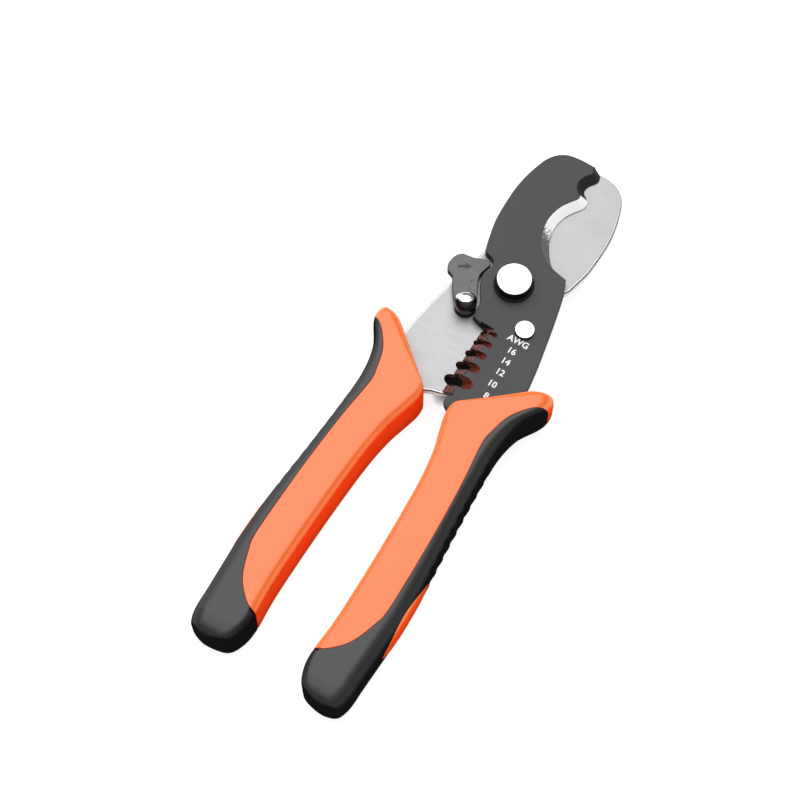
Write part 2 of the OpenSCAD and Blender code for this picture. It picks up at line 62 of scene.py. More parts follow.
# Numbers of the Mix node's sockets for colours, whose names its other sockets share.
MIX_SHARE, MIX_FIRST, MIX_SECOND, MIX_RESULT = 0, 6, 7, 2
Colour = tuple[float, float, float]
Point = tuple[float, float]
Mesh = bmesh.types.BMesh
Edge = bmesh.types.BMEdge
Face = bmesh.types.BMFace
Vert = bmesh.types.BMVert
Ring = list[tuple[Vector, float]]
RingPoint = tuple[float, float, float]


class Body(Enum):
    """Bodies of the frame that a piece rides on."""

    REAR = "rear_half"
    FRONT = "front_half"
    LOCK = "lock"


class Slot(Enum):
    """Material slots of the record."""

    REAR_STEEL = "rear_steel"
    FRONT_STEEL = "front_steel"
    POLISHED = "polished_steel"
    DARK_WASHER = "dark_washer"
    ZINC = "zinc_steel"
    SPRING = "spring_steel"
    LEVER = "lever_steel"
    ORANGE = "orange_plastic"
    RUBBER = "black_rubber"


class Sock:
    """Output socket of a node, so that sums and products of sockets are written as Python expressions."""

    def __init__(self, tree: "Tree", out: bpy.types.NodeSocket) -> None:
        """Keeps the socket and the tree that it belongs to."""
        self.tree = tree
        self.out = out

    def __add__(self, other: "Value") -> "Sock":
        """This value plus the other."""
        return self.tree.math("ADD", self, other)

    def __radd__(self, other: "Value") -> "Sock":
        """The other value plus this."""
        return self.tree.math("ADD", other, self)

    def __sub__(self, other: "Value") -> "Sock":
        """This value less the other."""
        return self.tree.math("SUBTRACT", self, other)

    def __rsub__(self, other: "Value") -> "Sock":
        """The other value less this."""
        return self.tree.math("SUBTRACT", other, self)

    def __mul__(self, other: "Value") -> "Sock":
        """This value times the other."""
        return self.tree.math("MULTIPLY", self, other)

    def __rmul__(self, other: "Value") -> "Sock":
        """The other value times this."""
        return self.tree.math("MULTIPLY", other, self)


Value = Union[Sock, float]


class Tree:
    """Node tree of one new material, with the helpers that build it."""

    def __init__(self, name: str) -> None:
        """Makes an empty material.

        Args:
            name: Name of the material.
        """
        self.material = bpy.data.materials.new(name)
        self.material.use_nodes = True
        self.tree = self.material.node_tree
        self.tree.nodes.clear()
        self.place = self.node("ShaderNodeTexCoord", {}, {}, "Object")

    def node(self, kind: str, settings: dict, inputs: dict, output: Union[int, str] = 0) -> Sock:
        """Adds a node: its settings first, then the values or links of its sockets.

        Args:
            kind: Type of the node.
            settings: Properties of the node; "stops" holds the places and brightnesses of a ramp.
            inputs: Value or link of each input socket, by name or number.
            output: Name or number of the output socket to return.

        Returns:
            The chosen output socket.
        """
        made = self.tree.nodes.new(kind)
        for name, value in settings.items():
            if name == "stops":
                self.set_stops(made.color_ramp, value)
            else:
                setattr(made, name, value)
        for name, value in inputs.items():
            socket = made.inputs[name]
            if isinstance(value, Sock):
                self.tree.links.new(value.out, socket)
            elif socket.type == "RGBA":
                socket.default_value = (*value[:3], 1.0)
            else:
                socket.default_value = value
        if not len(made.outputs):
            return Sock(self, None)
        return Sock(self, made.outputs[output])

    @staticmethod
    def set_stops(ramp: bpy.types.ColorRamp, stops: Sequence[Point]) -> None:
        """Sets the stops of a grey ramp.

        Args:
            ramp: The ramp.
            stops: Place and brightness of each stop.
        """
        while len(ramp.elements) < len(stops):
            ramp.elements.new(1.0)
        for element, (place, grey) in zip(ramp.elements, stops):
            element.position = place
            element.color = (grey, grey, grey, 1.0)

    def math(self, operation: str, first: Value, second: Value) -> Sock:
        """Result of a Math node on two values."""
        return self.node("ShaderNodeMath", {"operation": operation}, {0: first, 1: second})

    def mix(self, first: Union[Sock, Colour], second: Union[Sock, Colour], share: Value) -> Sock:
        """Mixes two colours.

        Args:
            first: Colour where the share is 0.
            second: Colour where the share is 1.
            share: Share of the second colour.

        Returns:
            The mixed colour.
        """
        settings = {"data_type": "RGBA", "clamp_factor": True}
        inputs = {MIX_SHARE: share, MIX_FIRST: first, MIX_SECOND: second}
        return self.node("ShaderNodeMix", settings, inputs, MIX_RESULT)

    def scaled(self, scale: tuple[float, float, float]) -> Sock:
        """Place on the object, scaled along each axis, which stretches a pattern."""
        return self.node("ShaderNodeMapping", {}, {"Vector": self.place, "Scale": scale})

    def noise(self, scale: float, detail: float, at: Optional[Sock] = None) -> Sock:
        """Noise from 0 to 1.

        Args:
            scale: Features in a metre.
            detail: How many finer layers the noise has.
            at: Place that the noise is read at, or None for the place on the object.

        Returns:
            The noise's value.
        """
        inputs = {"Vector": at or self.place, "Scale": scale, "Detail": detail, "Roughness": 0.6}
        return self.node("ShaderNodeTexNoise", {}, inputs)

    def ramp(self, value: Sock, *stops: Point) -> Sock:
        """The value, sent through a ramp with these places and brightnesses."""
        return self.node("ShaderNodeValToRGB", {"stops": stops}, {0: value})

    def attribute(self, name: str) -> Sock:
        """Value that the mesh carries at each of its points."""
        settings = {"attribute_type": "GEOMETRY", "attribute_name": name}
        return self.node("ShaderNodeAttribute", settings, {}, "Fac")

    def bump(self, height: Sock, depth_mm: float) -> Sock:
        """Normal that makes the height, which runs from 0 to 1, look as deep as depth_mm."""
        inputs = {"Strength": 1.0, "Distance": depth_mm * MM, "Height": height}
        return self.node("ShaderNodeBump", {}, inputs, "Normal")

    def surface(self, inputs: dict) -> bpy.types.Material:
        """Closes the tree with one shader and returns the finished material."""
        shader = self.node("ShaderNodeBsdfPrincipled", {}, inputs)
        self.node("ShaderNodeOutputMaterial", {}, {"Surface": shader})
        return self.material


@dataclass(frozen=True)
class Steel:
    """Finish of a steel surface, bare or coated.

    Attributes:
        name: Name of the material.
        tone: Main colour.
        patch: Colour of its cloudy patches.
        speck: Colour of the tiny specks.
        metallic: Share of metal in the look.
        rough: Mean roughness.
        speck_share: How strongly the specks show.
        rough_spread: How far the roughness varies.
        stretch: Patterns to the millimetre along each axis, which gives the grain its direction.
        grain_depth: Depth of the grain in millimetres.
        blots: How strongly blots of the specks' colour, half a millimetre wide, show.
        gloss: Strength of the sheen on the share that isn't metal.
    """

    name: str
    tone: Colour
    patch: Colour
    speck: Colour
    metallic: float
    rough: float
    speck_share: float = 0.2
    rough_spread: float = 0.1
    stretch: tuple[float, float, float] = (1.0, 1.0, 1.0)
    grain_depth: float = 0.003
    blots: float = 0.0
    gloss: float = 0.5

    def material(self) -> bpy.types.Material:
        """Builds the finish's material.

        Returns:
            The material.
        """
        tree = Tree(self.name)
        clouds = tree.ramp(tree.noise(160, 4), (0.3, 0.0), (0.7, 1.0))
        grain = tree.noise(1000, 3, tree.scaled(self.stretch))
        grit = tree.ramp(tree.noise(2600, 1), (0.62, 0.0), (0.7, 1.0))
        smear = tree.noise(60, 2, tree.scaled((1.0, 0.4, 1.0)))
        colour = tree.mix(self.tone, self.patch, clouds * 0.5 + grain * 0.5)
        colour = tree.mix(colour, self.speck, grit * self.speck_share)
        colour = self.wear_and_shade(tree, colour)
        rough = self.rough + (grain - 0.5) * self.rough_spread + (smear - 0.5) * self.rough_spread
        return tree.surface({
            "Base Color": colour,
            "Metallic": self.metallic,
            "Roughness": rough,
            "Specular IOR Level": self.gloss,
            "Normal": tree.bump(grain + grit * 0.4, self.grain_depth),
        })

    def wear_and_shade(self, tree: Tree, colour: Sock) -> Sock:
        """Colour with blots of the specks' colour on it.

        Args:
            tree: Tree of the material.
            colour: Colour without the blots.

        Returns:
            The blotted colour.
        """
        if not self.blots:
            return colour
        share = tree.ramp(tree.noise(1700, 3), (0.46, 0.0), (0.54, 1.0))
        return tree.mix(colour, self.speck, share * self.blots)


@dataclass(frozen=True)
class HeelShaded(Steel):
    """Finish of a jaw's bevel, painted bright at the cusp as a highlight and painted darker towards the heel
    as shade.

    Attributes:
        dark: Colour of the painted shade at the heel.
        bright_from: Height above the pivot, in millimetres, where the painted shade begins.
        dark_from: Height below which all is painted shade.
    """

    dark: Colour = (0.12, 0.115, 0.112)
    bright_from: float = 30.0
    dark_from: float = 13.0

    def wear_and_shade(self, tree: Tree, colour: Sock) -> Sock:
        """Colour with the painted shade that grows towards the heel.

        Args:
            tree: Tree of the material.
            colour: Colour without the painted shade.

        Returns:
            The shaded colour.
        """
        height = tree.node("ShaderNodeSeparateXYZ", {}, {0: tree.place}, "Y")
        shaded_length = (self.bright_from - self.dark_from) * MM
        below = (PIVOT.y + self.bright_from * MM - height) * (1 / shaded_length)
        share = tree.ramp(tree.noise(1700, 3) + below - 0.5, (0.42, 0.0), (0.58, 1.0))
        return tree.mix(colour, self.dark, share)


@dataclass(frozen=True)
class Moulding:
    """Finish of a moulded grip surface, which has a soft skin sheen on its faces and is dull on its sides;
    its roundings and sides get painted light and shade as colours of their own.

    Attributes:
        name: Name of the material.
        tone: Colour of the faces.
        patch: Colour of their cloudy patches.
        edge: Colour of the roundings between faces and sides, painted as the light on them.
        side: Colour of the sides near the upper face, painted as their shade.
        foot_shade: Colour of the sides near the floor, painted as the shade there.
        seam: Colour in the thin line where two materials meet.
        rough: Mean roughness.
        pebble: Pebbles of the mould's grain in a metre.
        pebble_depth: Depth of the pebbles in millimetres.
        sheen: Strength of the skin's sheen on the faces.
    """

    name: str
    tone: Colour
    patch: Colour
    edge: Colour
    side: Colour
    foot_shade: Colour
    seam: Colour
    rough: float
    pebble: float
    pebble_depth: float
    sheen: float

    def material(self) -> bpy.types.Material:
        """Builds the finish's material.

        Returns:
            The material.
        """
        tree = Tree(self.name)
        clouds = tree.noise(90, 3)
        fine = tree.noise(self.pebble, 2)
        scuffs = tree.ramp(tree.noise(500, 4, tree.scaled((1.0, 0.25, 1.0))), (0.6, 0.0), (0.75, 1.0))
        facing = tree.attribute("top_facing")
        colour = tree.mix(self.tone, self.patch, clouds * 0.6 + fine * 0.4)
        # A ramp runs from 0 to 1, which is 20 mm of height here.
        rise = tree.node("ShaderNodeSeparateXYZ", {}, {0: tree.place}, "Z") * 50.0
        # Painted shade: the sides grow darker towards the floor.
        side = tree.mix(self.foot_shade, self.side, tree.ramp(rise, (0.13, 0.0), (0.65, 1.0)))
        # Painted light and shade: the roundings and the sides take their own colours by how far up each point
        # faces.
        side = tree.mix(side, self.edge, tree.ramp(facing, (0.02, 0.0), (0.3, 1.0)))
        colour = tree.mix(side, colour, tree.ramp(facing, (0.7, 0.0), (1.0, 1.0)))
        colour = tree.mix(colour, self.seam, tree.attribute("seam_line"))
        rough = self.rough + (fine - 0.5) * 0.16 + (clouds - 0.5) * 0.12 + scuffs * 0.08
        return tree.surface({
            "Base Color": colour,
            "Roughness": rough,
            "Specular IOR Level": 0.0,
            "Coat Weight": facing * (fine * 0.12 + self.sheen - 0.06),
            "Coat Roughness": 0.42,
            "Coat IOR": 1.62,
            "Normal": tree.bump(fine + scuffs * 0.3, self.pebble_depth),
        })


@dataclass(frozen=True)
class Print:
    """Finish of a thin printed or engraved mark.

    Attributes:
        name: Name of the material.
        tone: Colour of the mark.
        wear_and_shade: Colour of the mark where it is rubbed away.
    """

    name: str
    tone: Colour
    wear_and_shade: Colour

    def material(self) -> bpy.types.Material:
        """Builds the mark's material.

        Returns:
            The material.
        """
        tree = Tree(self.name)
        wear = tree.ramp(tree.noise(1800, 4), (0.55, 0.0), (0.75, 0.7))
        fine = tree.noise(4000, 2)
        return tree.surface({
            "Base Color": tree.mix(self.tone, self.wear_and_shade, wear),
            "Roughness": 0.5 + fine * 0.2,
            "Normal": tree.bump(fine, 0.004),
        })


REAR_FACE = Steel("satin_ground_steel", (0.272, 0.276, 0.281), (0.247, 0.251, 0.255), (0.14, 0.14, 0.145),
                  metallic=0.92, rough=0.5, speck_share=0.1, stretch=(0.12, 1.0, 1.0), grain_depth=0.002)
# The rear plate's rounded outline is one steel, painted dark on its steep faces as shade and light on its
# upper faces as a highlight.
REAR_RIM = Steel("broken_edge_painted_shade", (0.05, 0.05, 0.052), (0.035, 0.035, 0.037), (0.15, 0.15, 0.15),
                 metallic=0.6, rough=0.45, stretch=(1.0, 1.0, 0.3), grain_depth=0.002)
REAR_LINE = Steel("edge_line_painted_highlight", (0.5, 0.5, 0.51), (0.42, 0.42, 0.43), (0.3, 0.3, 0.3),
                  metallic=0.9, rough=0.4, speck_share=0.1, rough_spread=0.08, stretch=(1.0, 1.0, 0.3),
                  grain_depth=0.002)
# Side walls of the rear plate, painted near white as a reflection of the floor.
REAR_WALL = Steel("cut_wall_painted_reflection", (0.8, 0.8, 0.8), (0.7, 0.7, 0.7), (0.4, 0.4, 0.4),
                  metallic=0.3, rough=0.5, speck_share=0.15, rough_spread=0.12, stretch=(1.0, 1.0, 0.2),
                  grain_depth=0.006)
FRONT_FACE = Steel("satin_black_oxide", (0.0195, 0.021, 0.023), (0.0165, 0.018, 0.0195), (0.09, 0.09, 0.095),
                   metallic=0.4, rough=0.48, speck_share=0.08, rough_spread=0.06, grain_depth=0.002)
# Rim and side walls of the front plate: black oxide, painted darker and duller than its face as shade.
FRONT_RIM = Steel("black_oxide_rim_painted_shade", (0.012, 0.0125, 0.013), (0.009, 0.0095, 0.01), (0.08, 0.08, 0.08),
                  metallic=0.3, rough=0.5)
FRONT_WALL = Steel("black_oxide_wall_painted_shade", (0.012, 0.0125, 0.0135), (0.009, 0.0095, 0.01), (0.06, 0.06, 0.06),
                   metallic=0.2, rough=0.55, speck_share=0.15, stretch=(1.0, 1.0, 0.2), grain_depth=0.004,
                   gloss=0.15)
# Ground steel of the jaw's bevel: near white as a painted highlight, with painted shade towards the heel.
GROUND = HeelShaded("ground_bevel_painted_highlight_and_shade", (0.98, 0.98, 0.98), (0.92, 0.92, 0.92), (0.5, 0.46, 0.45),
                  metallic=0.15, rough=0.42, rough_spread=0.2, stretch=(0.12, 1.6, 1.0), grain_depth=0.008)
# Ground steel of the front jaw's tip bevel, painted near black as shade.
TIP_GROUND = Steel("ground_tip_painted_shade", (0.016, 0.016, 0.017), (0.01, 0.01, 0.01), (0.1, 0.1, 0.1),
                   metallic=0.4, rough=0.5, rough_spread=0.12, stretch=(0.15, 1.4, 1.0), grain_depth=0.005)
COMB_GROUND = Steel("warm_ground_land", (0.25, 0.09, 0.078), (0.16, 0.065, 0.058), (0.01, 0.009, 0.009),
                    metallic=0.4, rough=0.45, speck_share=0.1, rough_spread=0.15, stretch=(0.15, 1.4, 1.0),
                    grain_depth=0.008, blots=0.85, gloss=0.2)
# Walls of the stripping holes and the edges round their lands, painted near black as the holes' shade.
COMB_WALL = Steel("hole_wall_painted_shade", (0.008, 0.007, 0.007), (0.005, 0.004, 0.004), (0.04, 0.03, 0.03),
                  metallic=0.1, rough=0.7, stretch=(1.0, 1.0, 0.3), grain_depth=0.004, gloss=0.05)
SCOOP = Steel("dark_red_scoop", (0.22, 0.035, 0.016), (0.13, 0.02, 0.012), (0.008, 0.007, 0.007),
              metallic=0.2, rough=0.45, speck_share=0.1, rough_spread=0.12, grain_depth=0.005, blots=0.8,
              gloss=0.15)
POLISH = Steel("mirror_polished_steel", (0.88, 0.88, 0.88), (0.82, 0.82, 0.83), (0.6, 0.6, 0.6),
               metallic=1.0, rough=0.1, speck_share=0.1, rough_spread=0.04, stretch=(0.5, 1.0, 1.0),
               grain_depth=0.0008)
# Sides of the turned pins: polished steel painted near black as a dark reflection.
POLISH_DARK_REFLECTION = Steel("polished_side_painted_dark_reflection", (0.04, 0.04, 0.041), (0.028, 0.028, 0.03), (0.12, 0.12, 0.12),
                    metallic=1.0, rough=0.16, speck_share=0.1, rough_spread=0.05, stretch=(1.0, 1.0, 0.2),
                    grain_depth=0.0008)
BLACK_WASHER = Steel("black_oxide_washer", (0.008, 0.008, 0.008), (0.005, 0.005, 0.005), (0.05, 0.05, 0.05),
                     metallic=0.1, rough=0.6, gloss=0.08)
ZINC = Steel("zinc_plate", (0.45, 0.46, 0.48), (0.36, 0.37, 0.39), (0.22, 0.23, 0.25),
             metallic=1.0, rough=0.34, rough_spread=0.12)
WIRE = Steel("oiled_spring_wire", (0.3, 0.31, 0.33), (0.2, 0.21, 0.23), (0.14, 0.14, 0.14),
             metallic=1.0, rough=0.3)
LEVER_FACE = Steel("grey_phosphated_steel", (0.078, 0.081, 0.084), (0.06, 0.062, 0.065), (0.24, 0.24, 0.245),
                   metallic=0.4, rough=0.5, speck_share=0.22, rough_spread=0.08, grain_depth=0.005)
# Rim and side walls of the lever: the same phosphated steel as its face, painted darker as shade, and near
# black on the walls.
LEVER_RIM = Steel("phosphated_rim_painted_shade", (0.045, 0.046, 0.048), (0.03, 0.031, 0.033), (0.15, 0.15, 0.15),
                  metallic=0.5, rough=0.45, speck_share=0.3, grain_depth=0.004)
LEVER_WALL = Steel("phosphated_wall_painted_shade", (0.008, 0.008, 0.0083), (0.005, 0.005, 0.0053),
                   (0.04, 0.04, 0.04), metallic=0.1, rough=0.6, stretch=(1.0, 1.0, 0.3), grain_depth=0.004,
                   gloss=0.08)
ORANGE = Moulding("orange_core_plastic", tone=(0.7, 0.122, 0.016), patch=(0.66, 0.11, 0.012),
                  edge=(0.98, 0.25, 0.075), side=(0.96, 0.078, 0.0095), foot_shade=(0.5, 0.046, 0.006),
                  seam=(0.45, 0.03, 0.006), rough=0.5, pebble=2600, pebble_depth=0.006, sheen=0.82)
RUBBER = Moulding("black_sleeve_rubber", tone=(0.014, 0.0143, 0.0146), patch=(0.011, 0.0112, 0.0115),
                  edge=(0.011, 0.011, 0.011), side=(0.008, 0.008, 0.008), foot_shade=(0.008, 0.008, 0.008),
                  seam=(0.012, 0.005, 0.004), rough=0.6, pebble=1800, pebble_depth=0.012, sheen=0.6)
WHITE_PRINT = Print("white_size_print", (0.6, 0.6, 0.6), (0.25, 0.25, 0.26))
# The engraved arrow and dot are drawn flat, painted near black as the shade in their recess.
ENGRAVING = Print("engraved_recess_painted_shade", (0.012, 0.012, 0.013), (0.03, 0.03, 0.031))


class Dresser:
    """Keeps one material of each finish and turns finished meshes into pieces on their bodies."""

    def __init__(self) -> None:
        """Starts with no material made."""
        self.made: dict[str, bpy.types.Material] = {}

    def material(self, finish: Union[Steel, Moulding, Print]) -> bpy.types.Material:
        """Finds the material of a finish, or makes it when it is first asked for.

        Args:
            finish: The finish.

        Returns:
            Its material.
        """
        if finish.name not in self.made:
            self.made[finish.name] = finish.material()
        return self.made[finish.name]

    def piece(self, name: str, mesh: Mesh, finishes: Sequence[Union[Steel, Moulding, Print]], body: Body,
              replaces: Sequence[str] = (), sharp_degrees: float = 40.0,
              flat_tops: bool = False) -> None:
        """Turns a mesh into a piece that rides on its body.

        Args:
            name: Name of the piece.
            mesh: The finished mesh, in metres, at its place; it is freed here.
            finishes: Finishes of the piece, in the order of its faces' material numbers.
            body: Body that the piece rides on.
            replaces: Frame nodes that it stands for.
            sharp_degrees: Edges that turn further than this are shaded sharp.
            flat_tops: True if level faces are shaded flat.
        """
        for face in mesh.faces:
            face.smooth = not flat_tops or abs(face.normal.z) < LEVEL
        for edge in mesh.edges:
            edge.smooth = edge.calc_face_angle(0.0) < math.radians(sharp_degrees)
        data = bpy.data.meshes.new(name)
        mesh.to_mesh(data)
        mesh.free()
        made = bpy.data.objects.new(name, data)
        bpy.context.scene.collection.objects.link(made)
        for finish in finishes:
            data.materials.append(self.material(finish))
        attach(made, body.value)
        if replaces:
            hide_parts(*replaces)
        LOG.info("%s: %d faces on %s", name, len(data.polygons), body.value)

    def repaint(self, node: str, finish: Steel) -> None:
        """Gives a frame node that keeps its shape its finish.

        Args:
            node: Name of the node.
            finish: The finish.
        """
        data = frame["nodes"][node].data
        data.materials.clear()
        data.materials.append(self.material(finish))
        LOG.info("%s: repainted", node)


def merged_copy(node: str) -> Mesh:
    """Copies a frame node's mesh, with its loose triangles merged into flat faces.

    Args:
        node: Name of the frame node.

    Returns:
        The copy, closed and pointing outwards.
    """
    mesh = bmesh.new()
    mesh.from_mesh(frame["nodes"][node].data)
    bmesh.ops.remove_doubles(mesh, verts=mesh.verts, dist=0.0005 * MM)
    bmesh.ops.dissolve_limit(mesh, angle_limit=math.radians(0.4), verts=mesh.verts, edges=mesh.edges,
                             use_dissolve_boundaries=False, delimit=set())
    bmesh.ops.recalc_face_normals(mesh, faces=mesh.faces)
    return mesh


def bevel_edges(mesh: Mesh, edges: Sequence[Edge], width_mm: float,
                segments: int = 2, clamp: bool = True) -> list[Face]:
    """Rounds edges over.

    Args:
        mesh: Mesh to work on.
        edges: The edges to round.
        width_mm: Width of the rounding in millimetres.
        segments: Faces across the rounding.
        clamp: True if the shortest edge narrows all the rounding.

    Returns:
        The faces that the rounding made.
    """
    made = bmesh.ops.bevel(mesh, geom=list(edges), offset=width_mm * MM, offset_type="OFFSET",
                           affect="EDGES", segments=segments, profile=0.5, material=-1,
                           clamp_overlap=clamp, loop_slide=True)
    mesh.normal_update()
    return made["faces"]


def sharp_edges(mesh: Mesh, degrees: float) -> list[Edge]:
    """Edges where the surface turns outwards by more than an angle."""
    return [edge for edge in mesh.edges
            if edge.is_convex and edge.calc_face_angle(0.0) > math.radians(degrees)]


def lathe(profile: Sequence[Point], centre: Vector, rounding_mm: float) -> Mesh:
    """Turns a profile round an upright axis.

    Args:
        profile: Radius and height of each corner in metres, from the top of the axis to its bottom.
        centre: Point that the axis passes through.
        rounding_mm: Rounding of the profile's corners in millimetres.

    Returns:
        The closed turned shape.
    """
    mesh = bmesh.new()
    points = [mesh.verts.new((radius, 0.0, height)) for radius, height in profile]
    for first, second in zip(points, points[1:]):
        mesh.edges.new((first, second))
    corners = points[1:-1]
    bmesh.ops.bevel(mesh, geom=corners, offset=rounding_mm * MM, offset_type="OFFSET", affect="VERTICES",
                    segments=4, profile=0.5, material=-1, clamp_overlap=True)
    bmesh.ops.spin(mesh, geom=mesh.verts[:] + mesh.edges[:], cent=(0, 0, 0), axis=(0, 0, 1),
                   dvec=(0, 0, 0), angle=math.tau, steps=96, use_merge=True, use_duplicate=False)
    bmesh.ops.remove_doubles(mesh, verts=mesh.verts, dist=0.002 * MM)
    bmesh.ops.recalc_face_normals(mesh, faces=mesh.faces)
    bmesh.ops.translate(mesh, verts=mesh.verts, vec=(centre.x, centre.y, 0.0))
    return mesh


def paint_dark_reflection_on_sides(mesh: Mesh, limit: float = 0.6, axis: Vector = Vector((0.0, 0.0, 1.0))) -> None:
    """Gives the faces that look aside from an axis the second finish, a painted dark reflection.

    Args:
        mesh: Mesh of the turned piece.
        limit: Cosine of the angle to the axis, at either end, from which a face stays bright.
        axis: Direction of the axis.
    """
    for face in mesh.faces:
        face.material_index = int(abs(face.normal.dot(axis)) < limit)


def keep_inside(mesh: Mesh, node: str) -> None:
    """Draws points that stand past a frame node's box in x back to its sides.

    Args:
        mesh: Mesh whose points are drawn back.
        node: Name of the frame node.
    """
    low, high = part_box(node)
    for vert in mesh.verts:
        vert.co.x = min(max(vert.co.x, low.x), high.x)


@cache
def node_centre(node: str) -> Vector:
    """Middle of a frame node's box, read once for each node."""
    low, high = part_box(node)
    return (low + high) / 2


class Spot(IntEnum):
    """Places of a plate that have a finish of their own, in the order of its finishes."""

    FACE = 0
    RIM = 1
    LINE = 2
    JAW_BEVEL = 3
    TIP_BEVEL = 4
    LAND = 5
    SCOOP = 6
    WALL = 7
    HOLE_WALL = 8


@dataclass
class Plate:
    """One steel plate with its jaw, stripping edge and tang.

    Attributes:
        node: Frame node that the plate replaces.
        body: Body that it rides on.
        slot: Slot of the record; not used.
        finishes: Finish of each spot.
        outline_mm: Rounding of the plate's outline.
        cusp_mm: Place of the cusp between the two jaw pockets, above the pivot.
        heel_mm: Place of the lower end of the jaw's bevel, above the pivot.
        comb_mm: Lower and upper end of the stripping edge, and its half width.
        scoop_mm: Upper end and half width of the part below the pivot that has scooped faces.
        full_wall_mm: Height from which a wall goes through the plate.
        merge_mm: Distance up to which points of the plain outline are merged.
        hole_edge_mm: Width of the edge round the lands between the holes, painted dark as the holes' shade.
        least_land_mm2: Area from which a land gets that edge.
        outline_degrees: Angle from which an edge of the outline is rounded.
        line_slope: Upright part of the normal from which the rounding takes the line's finish instead of the
            rim's; on the rear plate these are a painted highlight and painted shade.
        pins: Nodes that stand in the plate's holes, with the radius round each that stays sharp.
    """

    node: str
    body: Body
    slot: Slot
    finishes: tuple[Steel, ...]
    outline_mm: float
    cusp_mm: float = 38.1
    heel_mm: float = 8.0
    comb_mm: tuple[float, float, float] = (-39.5, -16.5, 4.2)
    scoop_mm: Point = (-15.0, 9.0)
    full_wall_mm: float = 2.3
    merge_mm: float = 0.2
    hole_edge_mm: float = 0.26
    least_land_mm2: float = 0.5
    outline_degrees: float = 60.0
    line_slope: float = 0.85
    pins: tuple[tuple[str, float], ...] = (("pivot_bolt", 9.5), ("lock_rivet", 3.0), ("stop_rivet", 3.0))

    def build(self, dresser: Dresser) -> None:
        """Makes the dressed plate.

        Args:
            dresser: Turns the meshes into pieces.
        """
        mesh = merged_copy(self.node)
        plain = [vert for vert in mesh.verts if self._is_plain(vert.co)]
        bmesh.ops.remove_doubles(mesh, verts=plain, dist=self.merge_mm * MM)
        bmesh.ops.dissolve_degenerate(mesh, edges=mesh.edges, dist=0.001 * MM)
        mesh.normal_update()
        for face in mesh.faces:
            face.material_index = self._finish_of(face)
        lands = [face for face in mesh.faces
                 if face.material_index == Spot.LAND and face.calc_area() > self.least_land_mm2 * MM * MM]
        # The edge round each land takes the hole walls' painted shade.
        edged = bmesh.ops.inset_individual(mesh, faces=lands, thickness=self.hole_edge_mm * MM, depth=0.0)
        for face in edged["faces"]:
            face.material_index = Spot.HOLE_WALL
        outline = [edge for edge in sharp_edges(mesh, self.outline_degrees) if self._is_outline(edge)]
        # Upper faces of the rounding take the line's finish and steep ones the rim's: painted highlight and
        # painted shade on the rear plate.
        for face in bevel_edges(mesh, outline, self.outline_mm, segments=3, clamp=False):
            face.material_index = Spot.LINE if abs(face.normal.z) > self.line_slope else Spot.RIM
        dresser.piece(self.node + "_ground", mesh, self.finishes, self.body, [self.node],
                      sharp_degrees=25, flat_tops=True)

    @staticmethod
    def _place(point: Vector) -> Vector:
        """Place of a point in millimetres from the pivot."""
        return (point - PIVOT) / MM

    def _in_comb(self, place: Vector) -> bool:
        """True in the stripping edge."""
        low, high, half = self.comb_mm
        return low < place.y < high and abs(place.x) < half

    def _is_plain(self, point: Vector) -> bool:
        """True away from the stripping edge and from the pins' holes."""
        clear = all((point - node_centre(node)).to_2d().length > radius * MM for node, radius in self.pins)
        return clear and not self._in_comb(self._place(point))

    def _is_outline(self, edge: Edge) -> bool:
        """Tells whether an edge belongs to the plate's outline.

        Args:
            edge: The edge.

        Returns:
            True between a level face and a wall through the plate, outside the stripping edge.
        """
        if len(edge.link_faces) != 2:
            return False
        level, wall = sorted(edge.link_faces, key=lambda face: -abs(face.normal.z))
        heights = [vert.co.z for vert in wall.verts]
        middle = (edge.verts[0].co + edge.verts[1].co) / 2
        return (abs(level.normal.z) > LEVEL and abs(wall.normal.z) < UPRIGHT
                and max(heights) - min(heights) > self.full_wall_mm * MM and self._is_plain(middle))

    def _finish_of(self, face: Face) -> Spot:
        """Finds the spot that a face belongs to.

        Args:
            face: The face.

        Returns:
            The spot, by the face's slope and its place.
        """
        slope = abs(face.normal.z)
        place = self._place(face.calc_center_median())
        if slope < UPRIGHT:
            return Spot.HOLE_WALL if self._in_comb(place) else Spot.WALL
        if slope > LEVEL:
            return Spot.FACE
        if place.y > self.cusp_mm:
            return Spot.TIP_BEVEL
        if place.y > self.heel_mm:
            return Spot.JAW_BEVEL
        top, half = self.scoop_mm
        if place.y < top and abs(place.x) < half:
            # A land leans sideways only, and a scoop leans round its hole.
            is_land = abs(face.normal.y) < 0.01 and abs(face.normal.x) > 0.5
            return Spot.LAND if is_land else Spot.SCOOP
        return Spot.FACE


def dress_pin(dresser: Dresser, name: str, pin: Mesh, node: str, body: Body) -> None:
    """Makes a turned pin, with the painted dark reflection on its sides already, a piece.

    Args:
        dresser: Turns the mesh into a piece.
        name: Name of the piece.
        pin: Mesh of the pin.
        node: Frame node that it replaces.
        body: Body that it rides on.
    """
    dresser.piece(name, pin, [POLISH, POLISH_DARK_REFLECTION], body, [node], sharp_degrees=50)


def dress_ring(dresser: Dresser, name: str, node: str, finish: Steel, rim_mm: float) -> None:
    """Makes a washer or a nut a piece on the rear half, with its edges rounded.

    Args:
        dresser: Turns the mesh into a piece.
        name: Name of the piece.
        node: Frame node that it replaces.
        finish: Its finish.
        rim_mm: Rounding of its edges.
    """
    mesh = merged_copy(node)
    bevel_edges(mesh, sharp_edges(mesh, 40), rim_mm)
    dresser.piece(name, mesh, [finish], Body.REAR, [node], sharp_degrees=30)


